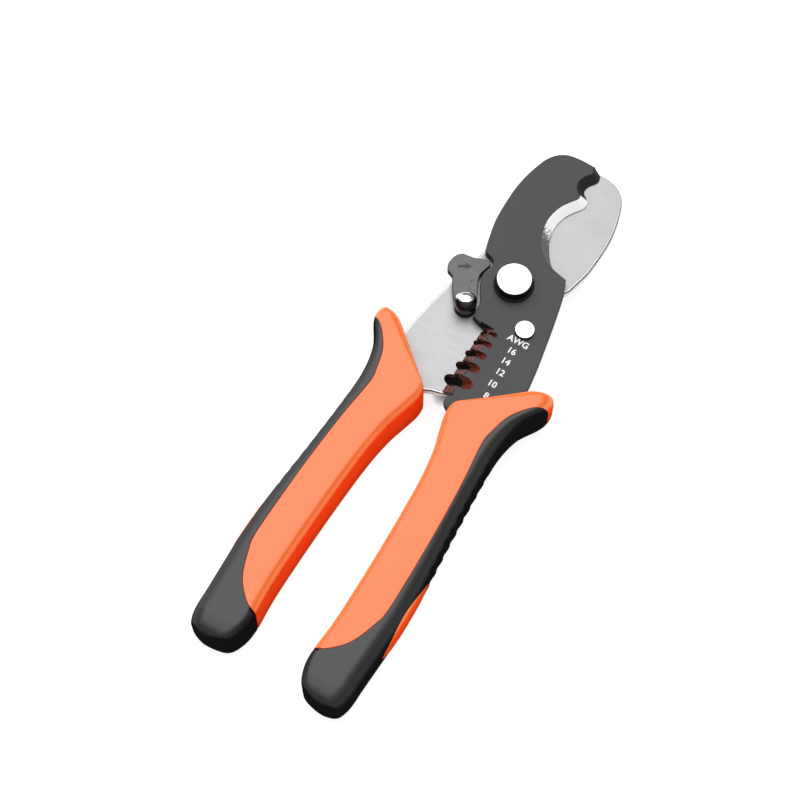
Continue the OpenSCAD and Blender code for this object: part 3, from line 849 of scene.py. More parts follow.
@dataclass
class PivotJoint:
    """Bolt, washers and nut that the plates turn on.

    Attributes:
        shank_mm: Radius of the bolt's shank.
        rim_mm: Rounding of the bolt's corners.
        washer_rim_mm: Rounding of the washers' and the nut's edges.
    """

    shank_mm: float = 3.0
    rim_mm: float = 0.5
    washer_rim_mm: float = 0.12

    def build(self, dresser: Dresser) -> None:
        """Makes the bolt, the washers and the nut.

        Args:
            dresser: Turns the meshes into pieces.
        """
        low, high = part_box("pivot_bolt")
        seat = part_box("front_washer")[1].z
        radius = (high.x - low.x) / 2
        shank = self.shank_mm * MM
        profile = [(0.0, high.z), (radius, high.z), (radius, seat),
                   (shank, seat), (shank, low.z), (0.0, low.z)]
        bolt = lathe(profile, PIVOT, self.rim_mm)
        # The bolt head's sides get the painted dark reflection.
        paint_dark_reflection_on_sides(bolt)
        dress_pin(dresser, "polished_bolt", bolt, "pivot_bolt", Body.REAR)
        for node, finish, slot in (("front_washer", BLACK_WASHER, Slot.DARK_WASHER),
                                   ("rear_washer", ZINC, Slot.ZINC), ("pivot_nut", ZINC, Slot.ZINC)):
            dress_ring(dresser, node + "_finished", node, finish, self.washer_rim_mm)


@dataclass
class Lock:
    """Side lever, its washer and its domed rivet.

    Attributes:
        shank_mm: Radius of the rivet's shank.
        tail_mm: Radius of its closed end.
        corner_mm: Rounding of the rivet's corners.
        wall_share: Share of the dome's height that is an upright wall.
        arc_steps: Steps of the dome's round top.
        cap_axis: Direction that the dome's bright cap faces, away from which the dome is painted dark as a
            reflection.
        cap_limit: Cosine of the angle to that direction where the cap ends.
        lever_rim_mm: Rounding of the lever's edges.
        washer_rim_mm: Rounding of the washer's edges.
    """

    shank_mm: float = 1.75
    tail_mm: float = 2.8
    corner_mm: float = 0.25
    wall_share: float = 0.5
    arc_steps: int = 16
    cap_axis: tuple[float, float, float] = (-0.26, 0.43, 0.866)
    cap_limit: float = 0.67
    lever_rim_mm: float = 0.28
    washer_rim_mm: float = 0.06

    def build(self, dresser: Dresser) -> None:
        """Makes the lever, the washer and the rivet.

        Args:
            dresser: Turns the meshes into pieces.
        """
        finishes = [LEVER_FACE, LEVER_RIM, LEVER_WALL]
        mesh = merged_copy("lock_lever")
        # Walls and rounded edges of the lever take its painted shade.
        for face in mesh.faces:
            face.material_index = finishes.index(LEVER_WALL if abs(face.normal.z) < UPRIGHT else LEVER_FACE)
        for face in bevel_edges(mesh, sharp_edges(mesh, 45), self.lever_rim_mm, segments=3):
            face.material_index = finishes.index(LEVER_RIM)
        dresser.piece("phosphated_lever", mesh, finishes, Body.LOCK, ["lock_lever"],
                      sharp_degrees=35, flat_tops=True)
        dress_ring(dresser, "friction_washer", "lock_washer", WIRE, self.washer_rim_mm)
        rivet = self._rivet()
        # The dome, away from its bright cap, gets the painted dark reflection.
        paint_dark_reflection_on_sides(rivet, self.cap_limit, Vector(self.cap_axis))
        dress_pin(dresser, "domed_rivet", rivet, "lock_rivet", Body.REAR)

    def _rivet(self) -> Mesh:
        """Turns the rivet: its dome, its shank and its closed end.

        Returns:
            The closed shape, at its place.
        """
        low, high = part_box("lock_rivet")
        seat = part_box("lock_washer")[1].z
        radius = (high.x - low.x) / 2
        wall = seat + (high.z - seat) * self.wall_share
        cap = high.z - wall
        sphere = (radius * radius + cap * cap) / (2 * cap)
        reach = math.asin(radius / sphere)
        turns = [reach * k / self.arc_steps for k in range(self.arc_steps + 1)]
        arc = [(sphere * math.sin(turn), high.z - sphere * (1 - math.cos(turn))) for turn in turns]
        shank, tail = self.shank_mm * MM, self.tail_mm * MM
        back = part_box("rear_blade")[0].z
        profile = arc + [(radius, seat), (shank, seat), (shank, back),
                         (tail, back), (tail, low.z), (0.0, low.z)]
        return lathe(profile, node_centre("lock_rivet"), self.corner_mm)


@dataclass
class Stop:
    """Stop rivet in the front plate.

    Attributes:
        shank_mm: Radius of the rivet's shank.
        tail_mm: Radius of its tail.
        corner_mm: Rounding of its corners.
    """

    shank_mm: float = 1.75
    tail_mm: float = 2.2
    corner_mm: float = 0.35

    def build(self, dresser: Dresser) -> None:
        """Turns the stop rivet: its flat head, its shank and its tail.

        Args:
            dresser: Turns the meshes into pieces.
        """
        low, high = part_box("stop_rivet")
        face_low, face_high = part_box("front_blade")
        radius = (high.x - low.x) / 2
        shank, tail = self.shank_mm * MM, self.tail_mm * MM
        profile = [(0.0, high.z), (radius, high.z), (radius, face_high.z), (shank, face_high.z),
                   (shank, face_low.z), (tail, face_low.z), (tail, low.z), (0.0, low.z)]
        rivet = lathe(profile, node_centre("stop_rivet"), self.corner_mm)
        # The stop rivet's sides get the painted dark reflection.
        paint_dark_reflection_on_sides(rivet)
        dress_pin(dresser, "flat_stop_rivet", rivet, "stop_rivet", Body.FRONT)


def fall(away: float) -> float:
    """How far a round of radius 1 has fallen at a distance from its top, from 0 at 0 to 1 at 1."""
    return 1 - math.sqrt(max(0.0, 1 - away * away))


def even(start: float, end: float, steps: int) -> list[float]:
    """Places in even steps from a start to an end, with both of them."""
    return [start + (end - start) * k / steps for k in range(steps + 1)]


def quarter(start: float, steps: int) -> list[float]:
    """Angles in radians, in even steps after a start in degrees, up to a right angle."""
    return [math.radians(start + (90 - start) * k / steps) for k in range(1, steps + 1)]


def extruded(mesh: Mesh, edges: Sequence[Edge]) -> tuple[list[Edge], dict[Vert, Vert]]:
    """Extrudes a ring of edges.

    Args:
        mesh: Mesh that the ring belongs to.
        edges: Edges of the ring.

    Returns:
        The new ring's edges, and each new point with the old one that it came from.
    """
    old = {vert for edge in edges for vert in edge.verts}
    made = bmesh.ops.extrude_edge_only(mesh, edges=edges)["geom"]
    origins = {}
    for vert in (geom for geom in made if isinstance(geom, Vert)):
        origins[vert] = next(e.other_vert(vert) for e in vert.link_edges if e.other_vert(vert) in old)
    return [geom for geom in made if isinstance(geom, Edge)], origins


def spline(points: Sequence[Point], place: float) -> Vector:
    """Point of the smooth curve through the points.

    Args:
        points: Points that the curve passes.
        place: Place on the curve, counted in points from 0.

    Returns:
        The point there.
    """
    last = len(points) - 1
    index = min(int(place), last - 1)
    share = place - index
    a, b, c, d = (Vector(points[min(max(k, 0), last)]) for k in range(index - 1, index + 3))
    return (b + share * (c - a) / 2 + share ** 2 * (a - 2.5 * b + 2 * c - d / 2)
            + share ** 3 * (1.5 * b - 1.5 * c + d / 2 - a / 2))


@dataclass
class Section:
    """Section of a grip across its length, in millimetres.

    Attributes:
        place: Place along the grip, counted in the points of its outline.
        inner: Point of the inner outline.
        outer: Point of the outer outline.
        half: Half height of the section.
        seam: Distance from the inner point to the seam.
        stretch: How much longer than across the seam a step along the section is.
        inset: How far the rounding of the grip's ends draws the section in.
    """

    place: float
    inner: Vector
    outer: Vector
    half: float
    seam: float
    stretch: float
    inset: float

    @property
    def width(self) -> float:
        """Distance from the inner to the outer point."""
        return (self.outer - self.inner).length


@dataclass
class Grip:
    """Moulded grip: a hard core on the tang and a soft sleeve round its outer side.

    Attributes:
        left: True for the left grip, which is the right one turned over.
        inner: Inner outline from the top end down, in millimetres from the pivot.
        outer: Outer outline.
        heights: Half height at each point, as a share of half_height.
        seam: Line where core and sleeve meet.
        half_height: Half of the grip's thickness.
        outer_round: Width and height of the rounding along the outer side.
        inner_round: Width and height of the rounding along the inner side.
        groove_top: Place of the first finger groove.
        groove_pitch: Distance from one finger groove to the next.
        groove_count: Number of finger grooves.
        groove_radius: Radius of a finger groove's bottom.
        groove_depth: Depth of a finger groove.
        groove_lead: Length above the first groove where the steps are short already.
        window: Middle of the window along the grip, its half length and its half height.
        window_points: Points round the window.
        window_power: Power below 1 that draws the points round the window towards its ends.
        window_rings: Size of each ring of the window's lens as a share, and how far it stands out.
        seam_fade: Width of the dark line beside the seam.
        seam_drop: How far the surface is rounded down at the seam.
        seam_steps: Steps of the seam's line from one of its points to the next.
        seam_slack: How far inside and outside a section the seam's line may cross it and still count.
        most_stretch: Greatest stretch of a step beside the seam.
        core_above: Height above which a section that the seam doesn't cross is all core, not all sleeve.
        end_round: Rounding of the grip's two ends.
        parting_half: Half width of the mould's parting line round the sides.
        core_parting: How far that line stands out of the core.
        sleeve_parting: How far it stands out of the sleeve.
        sliver: Width up to which core or sleeve is left out of a section.
        place_steps: Sections from one point of the outline to the next, before they are refined.
        fine_step: Longest step along the outer side in the finger grooves.
        coarse_step: Longest step elsewhere.
        seam_step: Longest step of the seam across the sections.
        least_place: Step in place below which none is halved again.
        round_steps: Steps of the inner rounding and of the bend down to the seam.
        flat_steps: Steps of the flat face.
        outer_steps: Steps of the outer rounding.
        core_facing: Upright part of the normal where the core's side ends and where its face begins.
        sleeve_facing: The same for the sleeve.
        sharp_degrees: Edges that turn further than this are shaded sharp.
    """

    left: bool
    inner: tuple[Point, ...] = (
        (5.99, -44.02), (4.64, -45.87), (4.51, -49.27), (5.75, -54.24), (7.48, -60.63), (8.83, -70.01),
        (9.56, -81.93), (10.02, -95.0), (10.26, -108.06), (10.21, -119.99), (9.56, -129.93),
        (10.1, -135.33), (12.29, -139.87), (16.61, -142.0))
    outer: tuple[Point, ...] = (
        (25.52, -26.98), (29.57, -27.83), (30.15, -32.38), (25.65, -40.47), (23.81, -49.98),
        (24.11, -62.05), (25.11, -77.96), (26.33, -94.0), (27.0, -108.06), (26.6, -119.99),
        (26.14, -129.93), (25.92, -136.04), (24.71, -140.15), (22.14, -142.0))
    heights: tuple[float, ...] = (0.86, 1, 1, 1, 1, 1, 1, 1, 1, 1, 1, 1, 0.92, 0.66)
    seam: tuple[Point, ...] = (
        (35.1, -28.3), (30.8, -31.7), (27.8, -33.6), (24.5, -36.8), (21.41, -41.46), (19.71, -47.43),
        (19.09, -52.54), (20.49, -66.03), (21.49, -80.94), (22.0, -96.0), (22.11, -110.05),
        (21.0, -115.3), (18.3, -122.4), (14.2, -127.23), (10.5, -129.2), (3.0, -129.75))
    half_height: float = 9.2
    outer_round: Point = (4.6, 6.5)
    inner_round: Point = (2.4, 4.0)
    groove_top: float = -56.8
    groove_pitch: float = 4.4
    groove_count: int = 9
    groove_radius: float = 3.2
    groove_depth: float = 0.62
    groove_lead: float = 3.0
    window: tuple[float, float, float] = (-107.5, 13.0, 6.3)
    window_points: int = 72
    window_power: float = 0.9
    window_rings: tuple[Point, ...] = (
        (1.0, -1.2), (1.0, -0.12), (0.995, 0.0), (0.97, 0.07), (0.94, 0.1), (0.75, 0.1), (0.5, 0.1),
        (0.22, 0.1))
    seam_fade: float = 0.3
    seam_drop: float = 0.16
    seam_steps: int = 8
    seam_slack: Point = (4.0, 6.0)
    most_stretch: float = 6.0
    core_above: float = -100.0
    end_round: float = 1.8
    parting_half: float = 0.25
    core_parting: float = 0.1
    sleeve_parting: float = 0.12
    sliver: float = 0.02
    place_steps: int = 12
    fine_step: float = 0.55
    coarse_step: float = 1.2
    seam_step: float = 0.9
    least_place: float = 0.0005
    round_steps: int = 9
    flat_steps: int = 6
    outer_steps: int = 12
    core_facing: Point = (0.12, 0.8)
    sleeve_facing: Point = (0.22, 0.82)
    sharp_degrees: float = 42.0

    def build(self, dresser: Dresser) -> None:
        """Makes the core with its window pad, and the sleeve.

        Args:
            dresser: Turns the meshes into pieces.
        """
        side = "left" if self.left else "right"
        body = Body.REAR if self.left else Body.FRONT
        sections = self._sections()
        core = self._loft([self._core_ring(s) for s in sections if s.seam > self.sliver])
        self._window_pad(core)
        self._set_down(core, *self.core_facing)
        keep_inside(core, side + "_grip_core")
        dresser.piece(side + "_core", core, [ORANGE], body, [side + "_grip_core"],
                      self.sharp_degrees)
        sleeve = self._loft([self._sleeve_ring(s) for s in sections if s.width - s.seam > self.sliver])
        self._set_down(sleeve, *self.sleeve_facing)
        dresser.piece(side + "_sleeve", sleeve, [RUBBER], body, [side + "_grip_sleeve"],
                      self.sharp_degrees)

    def _set_down(self, mesh: Mesh, side: float, top: float) -> None:
        """Marks how far up each point faces, and puts the mesh at its place.

        Args:
            mesh: Mesh of the right grip in millimetres about the pivot, turned over for the left one.
            side: Upright part of the normal up to which a point is on the side.
            top: Upright part of the normal from which a point is on the face.
        """
        mesh.normal_update()
        # How far up a point faces picks the grip's painted light and shade, and its sheen.
        layer = mesh.verts.layers.float.new("top_facing")
        for vert in mesh.verts:
            share = min(max((abs(vert.normal.z) - side) / (top - side), 0.0), 1.0)
            vert[layer] = share * share * (3 - 2 * share)
        bmesh.ops.scale(mesh, verts=mesh.verts, vec=(MM, MM, MM))
        if self.left:
            bmesh.ops.rotate(mesh, verts=mesh.verts, cent=(0, 0, 0), matrix=Matrix.Rotation(math.pi, 3, "Y"))
        bmesh.ops.translate(mesh, verts=mesh.verts, vec=PIVOT)
        bmesh.ops.recalc_face_normals(mesh, faces=mesh.faces)

    def _section(self, place: float) -> Section:
        """Works out one section.

        Args:
            place: Place along the grip, counted in the points of its outline.

        Returns:
            The section there, with the seam's place on it.
        """
        inner, outer = spline(self.inner, place), spline(self.outer, place)
        tall = spline([(height, 0.0) for height in self.heights], place).x
        seam, stretch = self._crossing(inner, outer)
        middle = (inner + outer) / 2
        ends = [(Vector(self.inner[k]) + Vector(self.outer[k])) / 2 for k in (0, -1)]
        away = min((end - middle).length for end in ends)
        inset = self.end_round * fall(max(0.0, 1 - away / self.end_round))
        return Section(place, inner, outer, min(tall, 1.0) * self.half_height, seam, stretch, inset)

    @cached_property
    def _seam_line(self) -> list[Vector]:
        """Points, in short steps, of the line where core and sleeve meet."""
        count = (len(self.seam) - 1) * self.seam_steps
        return [spline(self.seam, k / self.seam_steps) for k in range(count + 1)]

    def _crossing(self, inner: Vector, outer: Vector) -> tuple[float, float]:
        """Finds where the seam crosses a section.

        Args:
            inner: Inner point of the section.
            outer: Outer point of the section.

        Returns:
            The distance along the section to the seam, which is 0 where all of it is sleeve, and how much
            longer than across the seam a step along the section is.
        """
        along = (outer - inner).normalized()
        width = (outer - inner).length
        across = Vector((-along.y, along.x))
        line = self._seam_line
        sides = [(point - inner).dot(across) for point in line]
        inside, outside = self.seam_slack
        for k in range(len(line) - 1):
            if (sides[k] > 0) == (sides[k + 1] > 0):
                continue
            share = sides[k] / (sides[k] - sides[k + 1])
            reach = (line[k].lerp(line[k + 1], share) - inner).dot(along)
            if -inside < reach < width + outside:
                turn = abs((line[k + 1] - line[k]).normalized().dot(across))
                return min(max(reach, 0.0), width), 1 / max(turn, 1 / self.most_stretch)
        return (width if inner.y > self.core_above else 0.0), 1.0

    def _sections(self) -> list[Section]:
        """Works out the sections from the grip's top end down.

        Returns:
            The sections, closer where the seam runs along them and in the finger grooves.
        """
        done = [self._section(0.0)]
        for k in range((len(self.inner) - 1) * self.place_steps):
            self._refine(done, self._section((k + 1) / self.place_steps))
        return done

    def _refine(self, done: list[Section], after: Section) -> None:
        """Adds a section, and others before it where the last step is too long.

        Args:
            done: Sections so far, which this adds to.
            after: The next section.
        """
        before = done[-1]
        lowest = self.groove_top - self.groove_count * self.groove_pitch
        is_grooved = lowest < (before.outer.y + after.outer.y) / 2 < self.groove_top + self.groove_lead
        limit = self.fine_step if is_grooved else self.coarse_step
        step, slide = (after.outer - before.outer).length, abs(after.seam - before.seam)
        if (step > limit or slide > self.seam_step) and after.place - before.place > self.least_place:
            self._refine(done, self._section((before.place + after.place) / 2))
            self._refine(done, after)
        else:
            done.append(after)

    def _rounds(self, section: Section) -> tuple[float, float]:
        """Widths of a section's inner and outer rounding, which are less where it is narrow."""
        return min(self.inner_round[0], section.width / 3), min(self.outer_round[0], section.width / 3)

    def _top(self, section: Section, reach: float) -> float:
        """Works out how high a section is.

        Args:
            section: The section.
            reach: Distance from its inner point.

        Returns:
            Its half height there.
        """
        share = section.half / self.half_height
        inner_width, outer_width = self._rounds(section)
        if reach < inner_width:
            return section.half - self.inner_round[1] * share * fall(1 - reach / inner_width)
        if reach > section.width - outer_width:
            away = min(1.0, (reach - section.width + outer_width) / outer_width)
            return section.half - self.outer_round[1] * share * fall(away)
        return section.half

    def _groove(self, y: float) -> float:
        """Works out how deep the finger grooves are.

        Args:
            y: Height on the outline.

        Returns:
            The depth there, which is 0 between two grooves.
        """
        nearest = round((self.groove_top - y) / self.groove_pitch)
        nearest = min(max(nearest, 0), self.groove_count - 1)
        away = abs(self.groove_top - nearest * self.groove_pitch - y)
        if away >= self.groove_radius:
            return 0.0
        sunk = self.groove_depth - self.groove_radius
        return max(0.0, sunk + math.sqrt(self.groove_radius ** 2 - away ** 2))

    def _core_ring(self, section: Section) -> Ring:
        """Draws the core's ring, from its inner side over its top to the seam and back below.

        Args:
            section: Section that the ring lies in.

        Returns:
            Each point of the ring, and how near it is to the seam.
        """
        seam = section.seam
        whole = seam > section.width - self.sliver
        inner_width, outer_width = self._rounds(section)
        fades = [0.0 if whole else share * self.seam_fade * section.stretch
                 for share in (1.0, 0.6, 0.3, 0.1, 0.0)]
        flat_end = min(section.width - outer_width, max(seam - fades[0], inner_width))
        turns = quarter(0, self.round_steps)
        reaches = [0.0] + [inner_width * (1 - math.cos(turn)) for turn in turns[:-1]]
        reaches += even(inner_width, flat_end, self.flat_steps)
        bend = max(seam - fades[0] - flat_end, 0.0)
        reaches += [flat_end + bend * math.sin(turn) for turn in turns]
        reaches += [seam - fade for fade in fades]
        side_height = self._top(section, 0.0)
        upper = [(-self.core_parting, 0.0, 0.0), (0.0, self.parting_half, 0.0)]
        upper += [(0.0, share * side_height, 0.0) for share in (0.45, 0.6, 0.9)]
        upper += self._skin(section, reaches, 0.0, seam, not whole)
        wall_height = upper[-1][1]
        upper += [(seam, wall_height * share, 0.0 if whole else 1.0) for share in (0.9, 0.5, 0.03, 0.0)]
        return self._closed(section, upper)

    def _sleeve_ring(self, section: Section) -> Ring:
        """Draws the sleeve's ring, from the seam over its top to its outer side and back below.

        Args:
            section: Section that the ring lies in.

        Returns:
            Each point of the ring, and how near it is to the seam.
        """
        seam, width = section.seam, section.width
        bare = seam < self.sliver
        inner_width, outer_width = self._rounds(section)
        fade = 0.0 if bare else self.seam_fade * section.stretch
        wall_height = self._top(section, seam) - (0.0 if bare else self._drop(1.0))
        upper = [(seam, wall_height * share, 0.0 if bare else 1.0) for share in (0.0, 0.03, 0.5, 0.9)]
        reaches = [seam + share * fade for share in (0.0, 0.1, 0.3, 0.6, 1.0)]
        start = seam + fade
        if start < inner_width:
            turns = quarter(math.degrees(math.acos(1 - start / inner_width)), self.round_steps)
            reaches += [inner_width * (1 - math.cos(turn)) for turn in turns[:-1]]
        else:
            reaches += [start] * (self.round_steps - 1)
        flat = max(start, inner_width)
        flat_end = max(width - outer_width, flat)
        reaches += even(flat, flat_end, self.flat_steps)
        passed = min(1.0, max(0.0, (flat_end - width + outer_width) / outer_width))
        turns = quarter(math.degrees(math.asin(passed)), self.outer_steps)
        reaches += [width - outer_width + outer_width * math.sin(turn) for turn in turns]
        upper += self._skin(section, reaches, seam, width, not bare)
        side_height = upper[-1][1]
        upper += [(width, share * side_height, 0.0) for share in (0.9, 0.7, 0.5, 0.3)]
        upper += [(width, self.parting_half, 0.0), (width + self.sleeve_parting, 0.0, 0.0)]
        grooved = []
        for reach, height, near in upper:
            y = section.inner.y + (section.outer.y - section.inner.y) * reach / width
            grooved.append((min(reach, width - self._groove(y)), height, near))
        return self._closed(section, grooved)

    def _skin(self, section: Section, reaches: Sequence[float], low: float, high: float,
              joined: bool) -> list[RingPoint]:
        """Draws the upper surface of core or sleeve, rounded down beside the seam.

        Args:
            section: Section that the surface lies in.
            reaches: Distances from the inner point.
            low: Least distance, where the core or sleeve begins.
            high: Greatest distance, where it ends.
            joined: True if the other of the two joins it at the seam.

        Returns:
            Reach, height and nearness to the seam of each point.
        """
        points = []
        for reach in reaches:
            held = min(max(reach, low), high)
            away = abs(held - section.seam) / (self.seam_fade * section.stretch)
            near = max(0.0, 1 - away) if joined else 0.0
            points.append((held, self._top(section, held) - self._drop(near), near))
        return points

    def _drop(self, near: float) -> float:
        """How far the surface is rounded down beside the seam."""
        return self.seam_drop * fall(near)

    @staticmethod
    def _closed(section: Section, upper: Sequence[RingPoint]) -> Ring:
        """Closes a ring: its upper half out over the top, and the same back below.

        Args:
            section: Section that the ring lies in.
            upper: Reach, height and nearness to the seam of each point of the upper half.

        Returns:
            The whole ring, drawn in at the grip's ends, in millimetres from the pivot.
        """
        along = (section.outer - section.inner).normalized()
        narrow, low = 1 - 2 * section.inset / section.width, 1 - section.inset / section.half
        middle = section.width / 2
        drawn = [(middle + (reach - middle) * narrow, height * low, near) for reach, height, near in upper]
        both = drawn + [(reach, -height, near) for reach, height, near in reversed(drawn[1:-1])]
        ring = []
        for reach, height, near in both:
            flat = section.inner + along * reach
            ring.append((Vector((flat.x, flat.y, height)), near))
        return ring

    @staticmethod
    def _loft(rings: Sequence[Ring]) -> Mesh:
        """Draws a ring out from section to section and closes both ends.

        Args:
            rings: Rings with as many points each, as points and their nearness to the seam.

        Returns:
            The closed shape, in millimetres about the pivot.
        """
        mesh = bmesh.new()
        layer = mesh.verts.layers.float.new("seam_line")
        bmesh.ops.create_circle(mesh, cap_ends=False, segments=len(rings[0]), radius=1.0)
        row, edges = mesh.verts[:], mesh.edges[:]
        for number, ring in enumerate(rings):
            if number:
                edges, origins = extruded(mesh, edges)
                drawn = {old: vert for vert, old in origins.items()}
                row = [drawn[old] for old in row]
            for vert, (point, near) in zip(row, ring):
                vert.co = point
                vert[layer] = near
            if number in (0, len(rings) - 1):
                bmesh.ops.contextual_create(mesh, geom=row)
        bmesh.ops.remove_doubles(mesh, verts=mesh.verts, dist=0.004)
        bmesh.ops.recalc_face_normals(mesh, faces=mesh.faces)
        return mesh

    def _side(self, y: float, z: float) -> float:
        """Finds the outer side by halving its outline.

        Args:
            y: Place along the grip.
            z: Height above the middle.

        Returns:
            Distance of the outer side from the middle there.
        """
        low, high = 0.0, len(self.outer) - 1.0
        for _ in range(30):
            middle = (low + high) / 2
            if spline(self.outer, middle).y > y:
                low = middle
            else:
                high = middle
        width, height = self.outer_round
        away = max(0.0, (abs(z) - self.half_height + height) / height)
        return spline(self.outer, low).x - width * fall(away)

    def _window_pad(self, mesh: Mesh) -> None:
        """Adds the lens of the core that fills the window in the sleeve.

        Args:
            mesh: Mesh of the core, which the lens is added to.
        """
        _, half_length, half_height = self.window
        radius = (half_length ** 2 + half_height ** 2) / (2 * half_height)
        made = bmesh.ops.create_circle(mesh, cap_ends=False, segments=self.window_points, radius=1.0)["verts"]
        edges = list(dict.fromkeys(edge for vert in made for edge in vert.link_edges))
        spots = {}
        for vert in made:
            turn = math.atan2(vert.co.y, vert.co.x)
            along = half_length * math.copysign(abs(math.cos(turn)) ** self.window_power, math.cos(turn))
            rise = math.sqrt(max(0.0, radius ** 2 - along ** 2)) - radius + half_height
            spots[vert] = (along, math.copysign(max(rise, 0.0), math.sin(turn)))
        for number, (share, proud) in enumerate(self.window_rings):
            if number:
                edges, origins = extruded(mesh, edges)
                spots = {vert: spots[old] for vert, old in origins.items()}
            self._lay(mesh, spots, share, proud)
        bmesh.ops.contextual_create(mesh, geom=list(spots))

    def _lay(self, mesh: Mesh, spots: dict[Vert, Point], share: float, proud: float) -> None:
        """Lays one ring of the window's lens on the outer side.

        Args:
            mesh: Mesh of the core.
            spots: Points of the ring, with their place in the full lens.
            share: Size of the ring, as a share of the lens.
            proud: How far the ring stands out of the sleeve's side.
        """
        layer = mesh.verts.layers.float["seam_line"]
        for vert, (along, rise) in spots.items():
            y, z = self.window[0] + along * share, rise * share
            vert.co = Vector((self._side(y, z) + proud, y, z))
            vert[layer] = 1.0 if proud < 0.01 else 0.0


@dataclass
class Marks:
    """Wire sizes on the front plate and the plain arrow on the lever.

    Attributes:
        words: Each word with its place in millimetres from the pivot.
        cap_mm: Height of the letters.
        cap_share: Height of a capital as a share of the font's size.
        bold_mm: How far the letters' outline is moved outwards.
        lift_mm: Height of the marks above their faces.
        arrow: Corners of the arrow in millimetres, about its middle.
        arrow_at: Place of the arrow from the pivot.
        arrow_turn: Angle of the arrow in degrees.
        dot_at: Place of the dot from the pivot.
        dot_mm: Radius of the dot.
    """

    words: tuple[tuple[str, float, float], ...] = (
        ("AWG", 10.75, -16.1), ("16", 10.6, -19.8), ("14", 10.75, -23.7), ("12", 11.1, -27.6),
        ("10", 11.0, -32.1), ("8", 11.4, -36.4))
    cap_mm: float = 2.0
    cap_share: float = 0.7
    bold_mm: float = 0.07
    lift_mm: float = 0.012
    arrow: tuple[Point, ...] = (
        (0.0, 1.25), (2.1, 0.0), (0.0, -1.25), (0.0, -0.5), (-2.3, -0.5), (-2.3, 0.5), (0.0, 0.5))
    arrow_at: Point = (-15.9, -2.0)
    arrow_turn: float = 31.0
    dot_at: Point = (-11.7, -5.4)
    dot_mm: float = 0.32

    def build(self, dresser: Dresser) -> None:
        """Makes the printed words as one thin piece, and the engraved arrow.

        Args:
            dresser: Turns the meshes into pieces.
        """
        mesh = bmesh.new()
        for word, x, y in self.words:
            self._add_word(mesh, word, PIVOT + Vector((x * MM, y * MM, 0)))
        dresser.piece("wire_size_print", mesh, [WHITE_PRINT], Body.FRONT)
        # The lever's arrow and dot are flat marks, painted dark as the shade of an engraving.
        dresser.piece("lever_marks", self._lever_marks(), [ENGRAVING], Body.LOCK)

    def _lever_marks(self) -> Mesh:
        """Draws a plain arrow and a dot on the lever.

        Returns:
            The flat marks, a hair above the lever's face.
        """
        mesh = bmesh.new()
        arrow = [mesh.verts.new((x * MM, y * MM, 0.0)) for x, y in self.arrow]
        mesh.faces.new(arrow)
        turn = Matrix.Rotation(math.radians(self.arrow_turn), 3, "Z")
        bmesh.ops.rotate(mesh, verts=arrow, cent=(0, 0, 0), matrix=turn)
        dot = bmesh.ops.create_circle(mesh, cap_ends=True, segments=24, radius=self.dot_mm * MM)["verts"]
        for verts, (x, y) in ((arrow, self.arrow_at), (dot, self.dot_at)):
            bmesh.ops.translate(mesh, verts=verts, vec=(x * MM, y * MM, 0.0))
        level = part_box("lock_lever")[1].z + self.lift_mm * MM
        bmesh.ops.translate(mesh, verts=mesh.verts, vec=(PIVOT.x, PIVOT.y, level))
        bmesh.ops.recalc_face_normals(mesh, faces=mesh.faces)
        for face in mesh.faces:
            if face.normal.z < 0:
                face.normal_flip()
        return mesh

    def _add_word(self, mesh: Mesh, word: str, at: Vector) -> None:
        """Adds one word to a mesh, flat on the plate.

        Args:
            mesh: Mesh that the word is added to.
            word: The word.
            at: Middle of the word.
        """
        text = bpy.data.curves.new("word", "FONT")
        text.body = word
        text.size = self.cap_mm * MM / self.cap_share
        text.offset = self.bold_mm * MM
        text.align_x = text.align_y = "CENTER"
        text.resolution_u = 3
        carrier = bpy.data.objects.new("word", text)
        bpy.context.scene.collection.objects.link(carrier)
        flat = bpy.data.meshes.new_from_object(carrier)
        bpy.data.objects.remove(carrier)
        old = set(mesh.verts)
        mesh.from_mesh(flat)
        fresh = [vert for vert in mesh.verts if vert not in old]
        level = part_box("front_blade")[1].z + self.lift_mm * MM
        bmesh.ops.translate(mesh, verts=fresh, vec=(at.x, at.y, level))
        bpy.data.meshes.remove(flat)


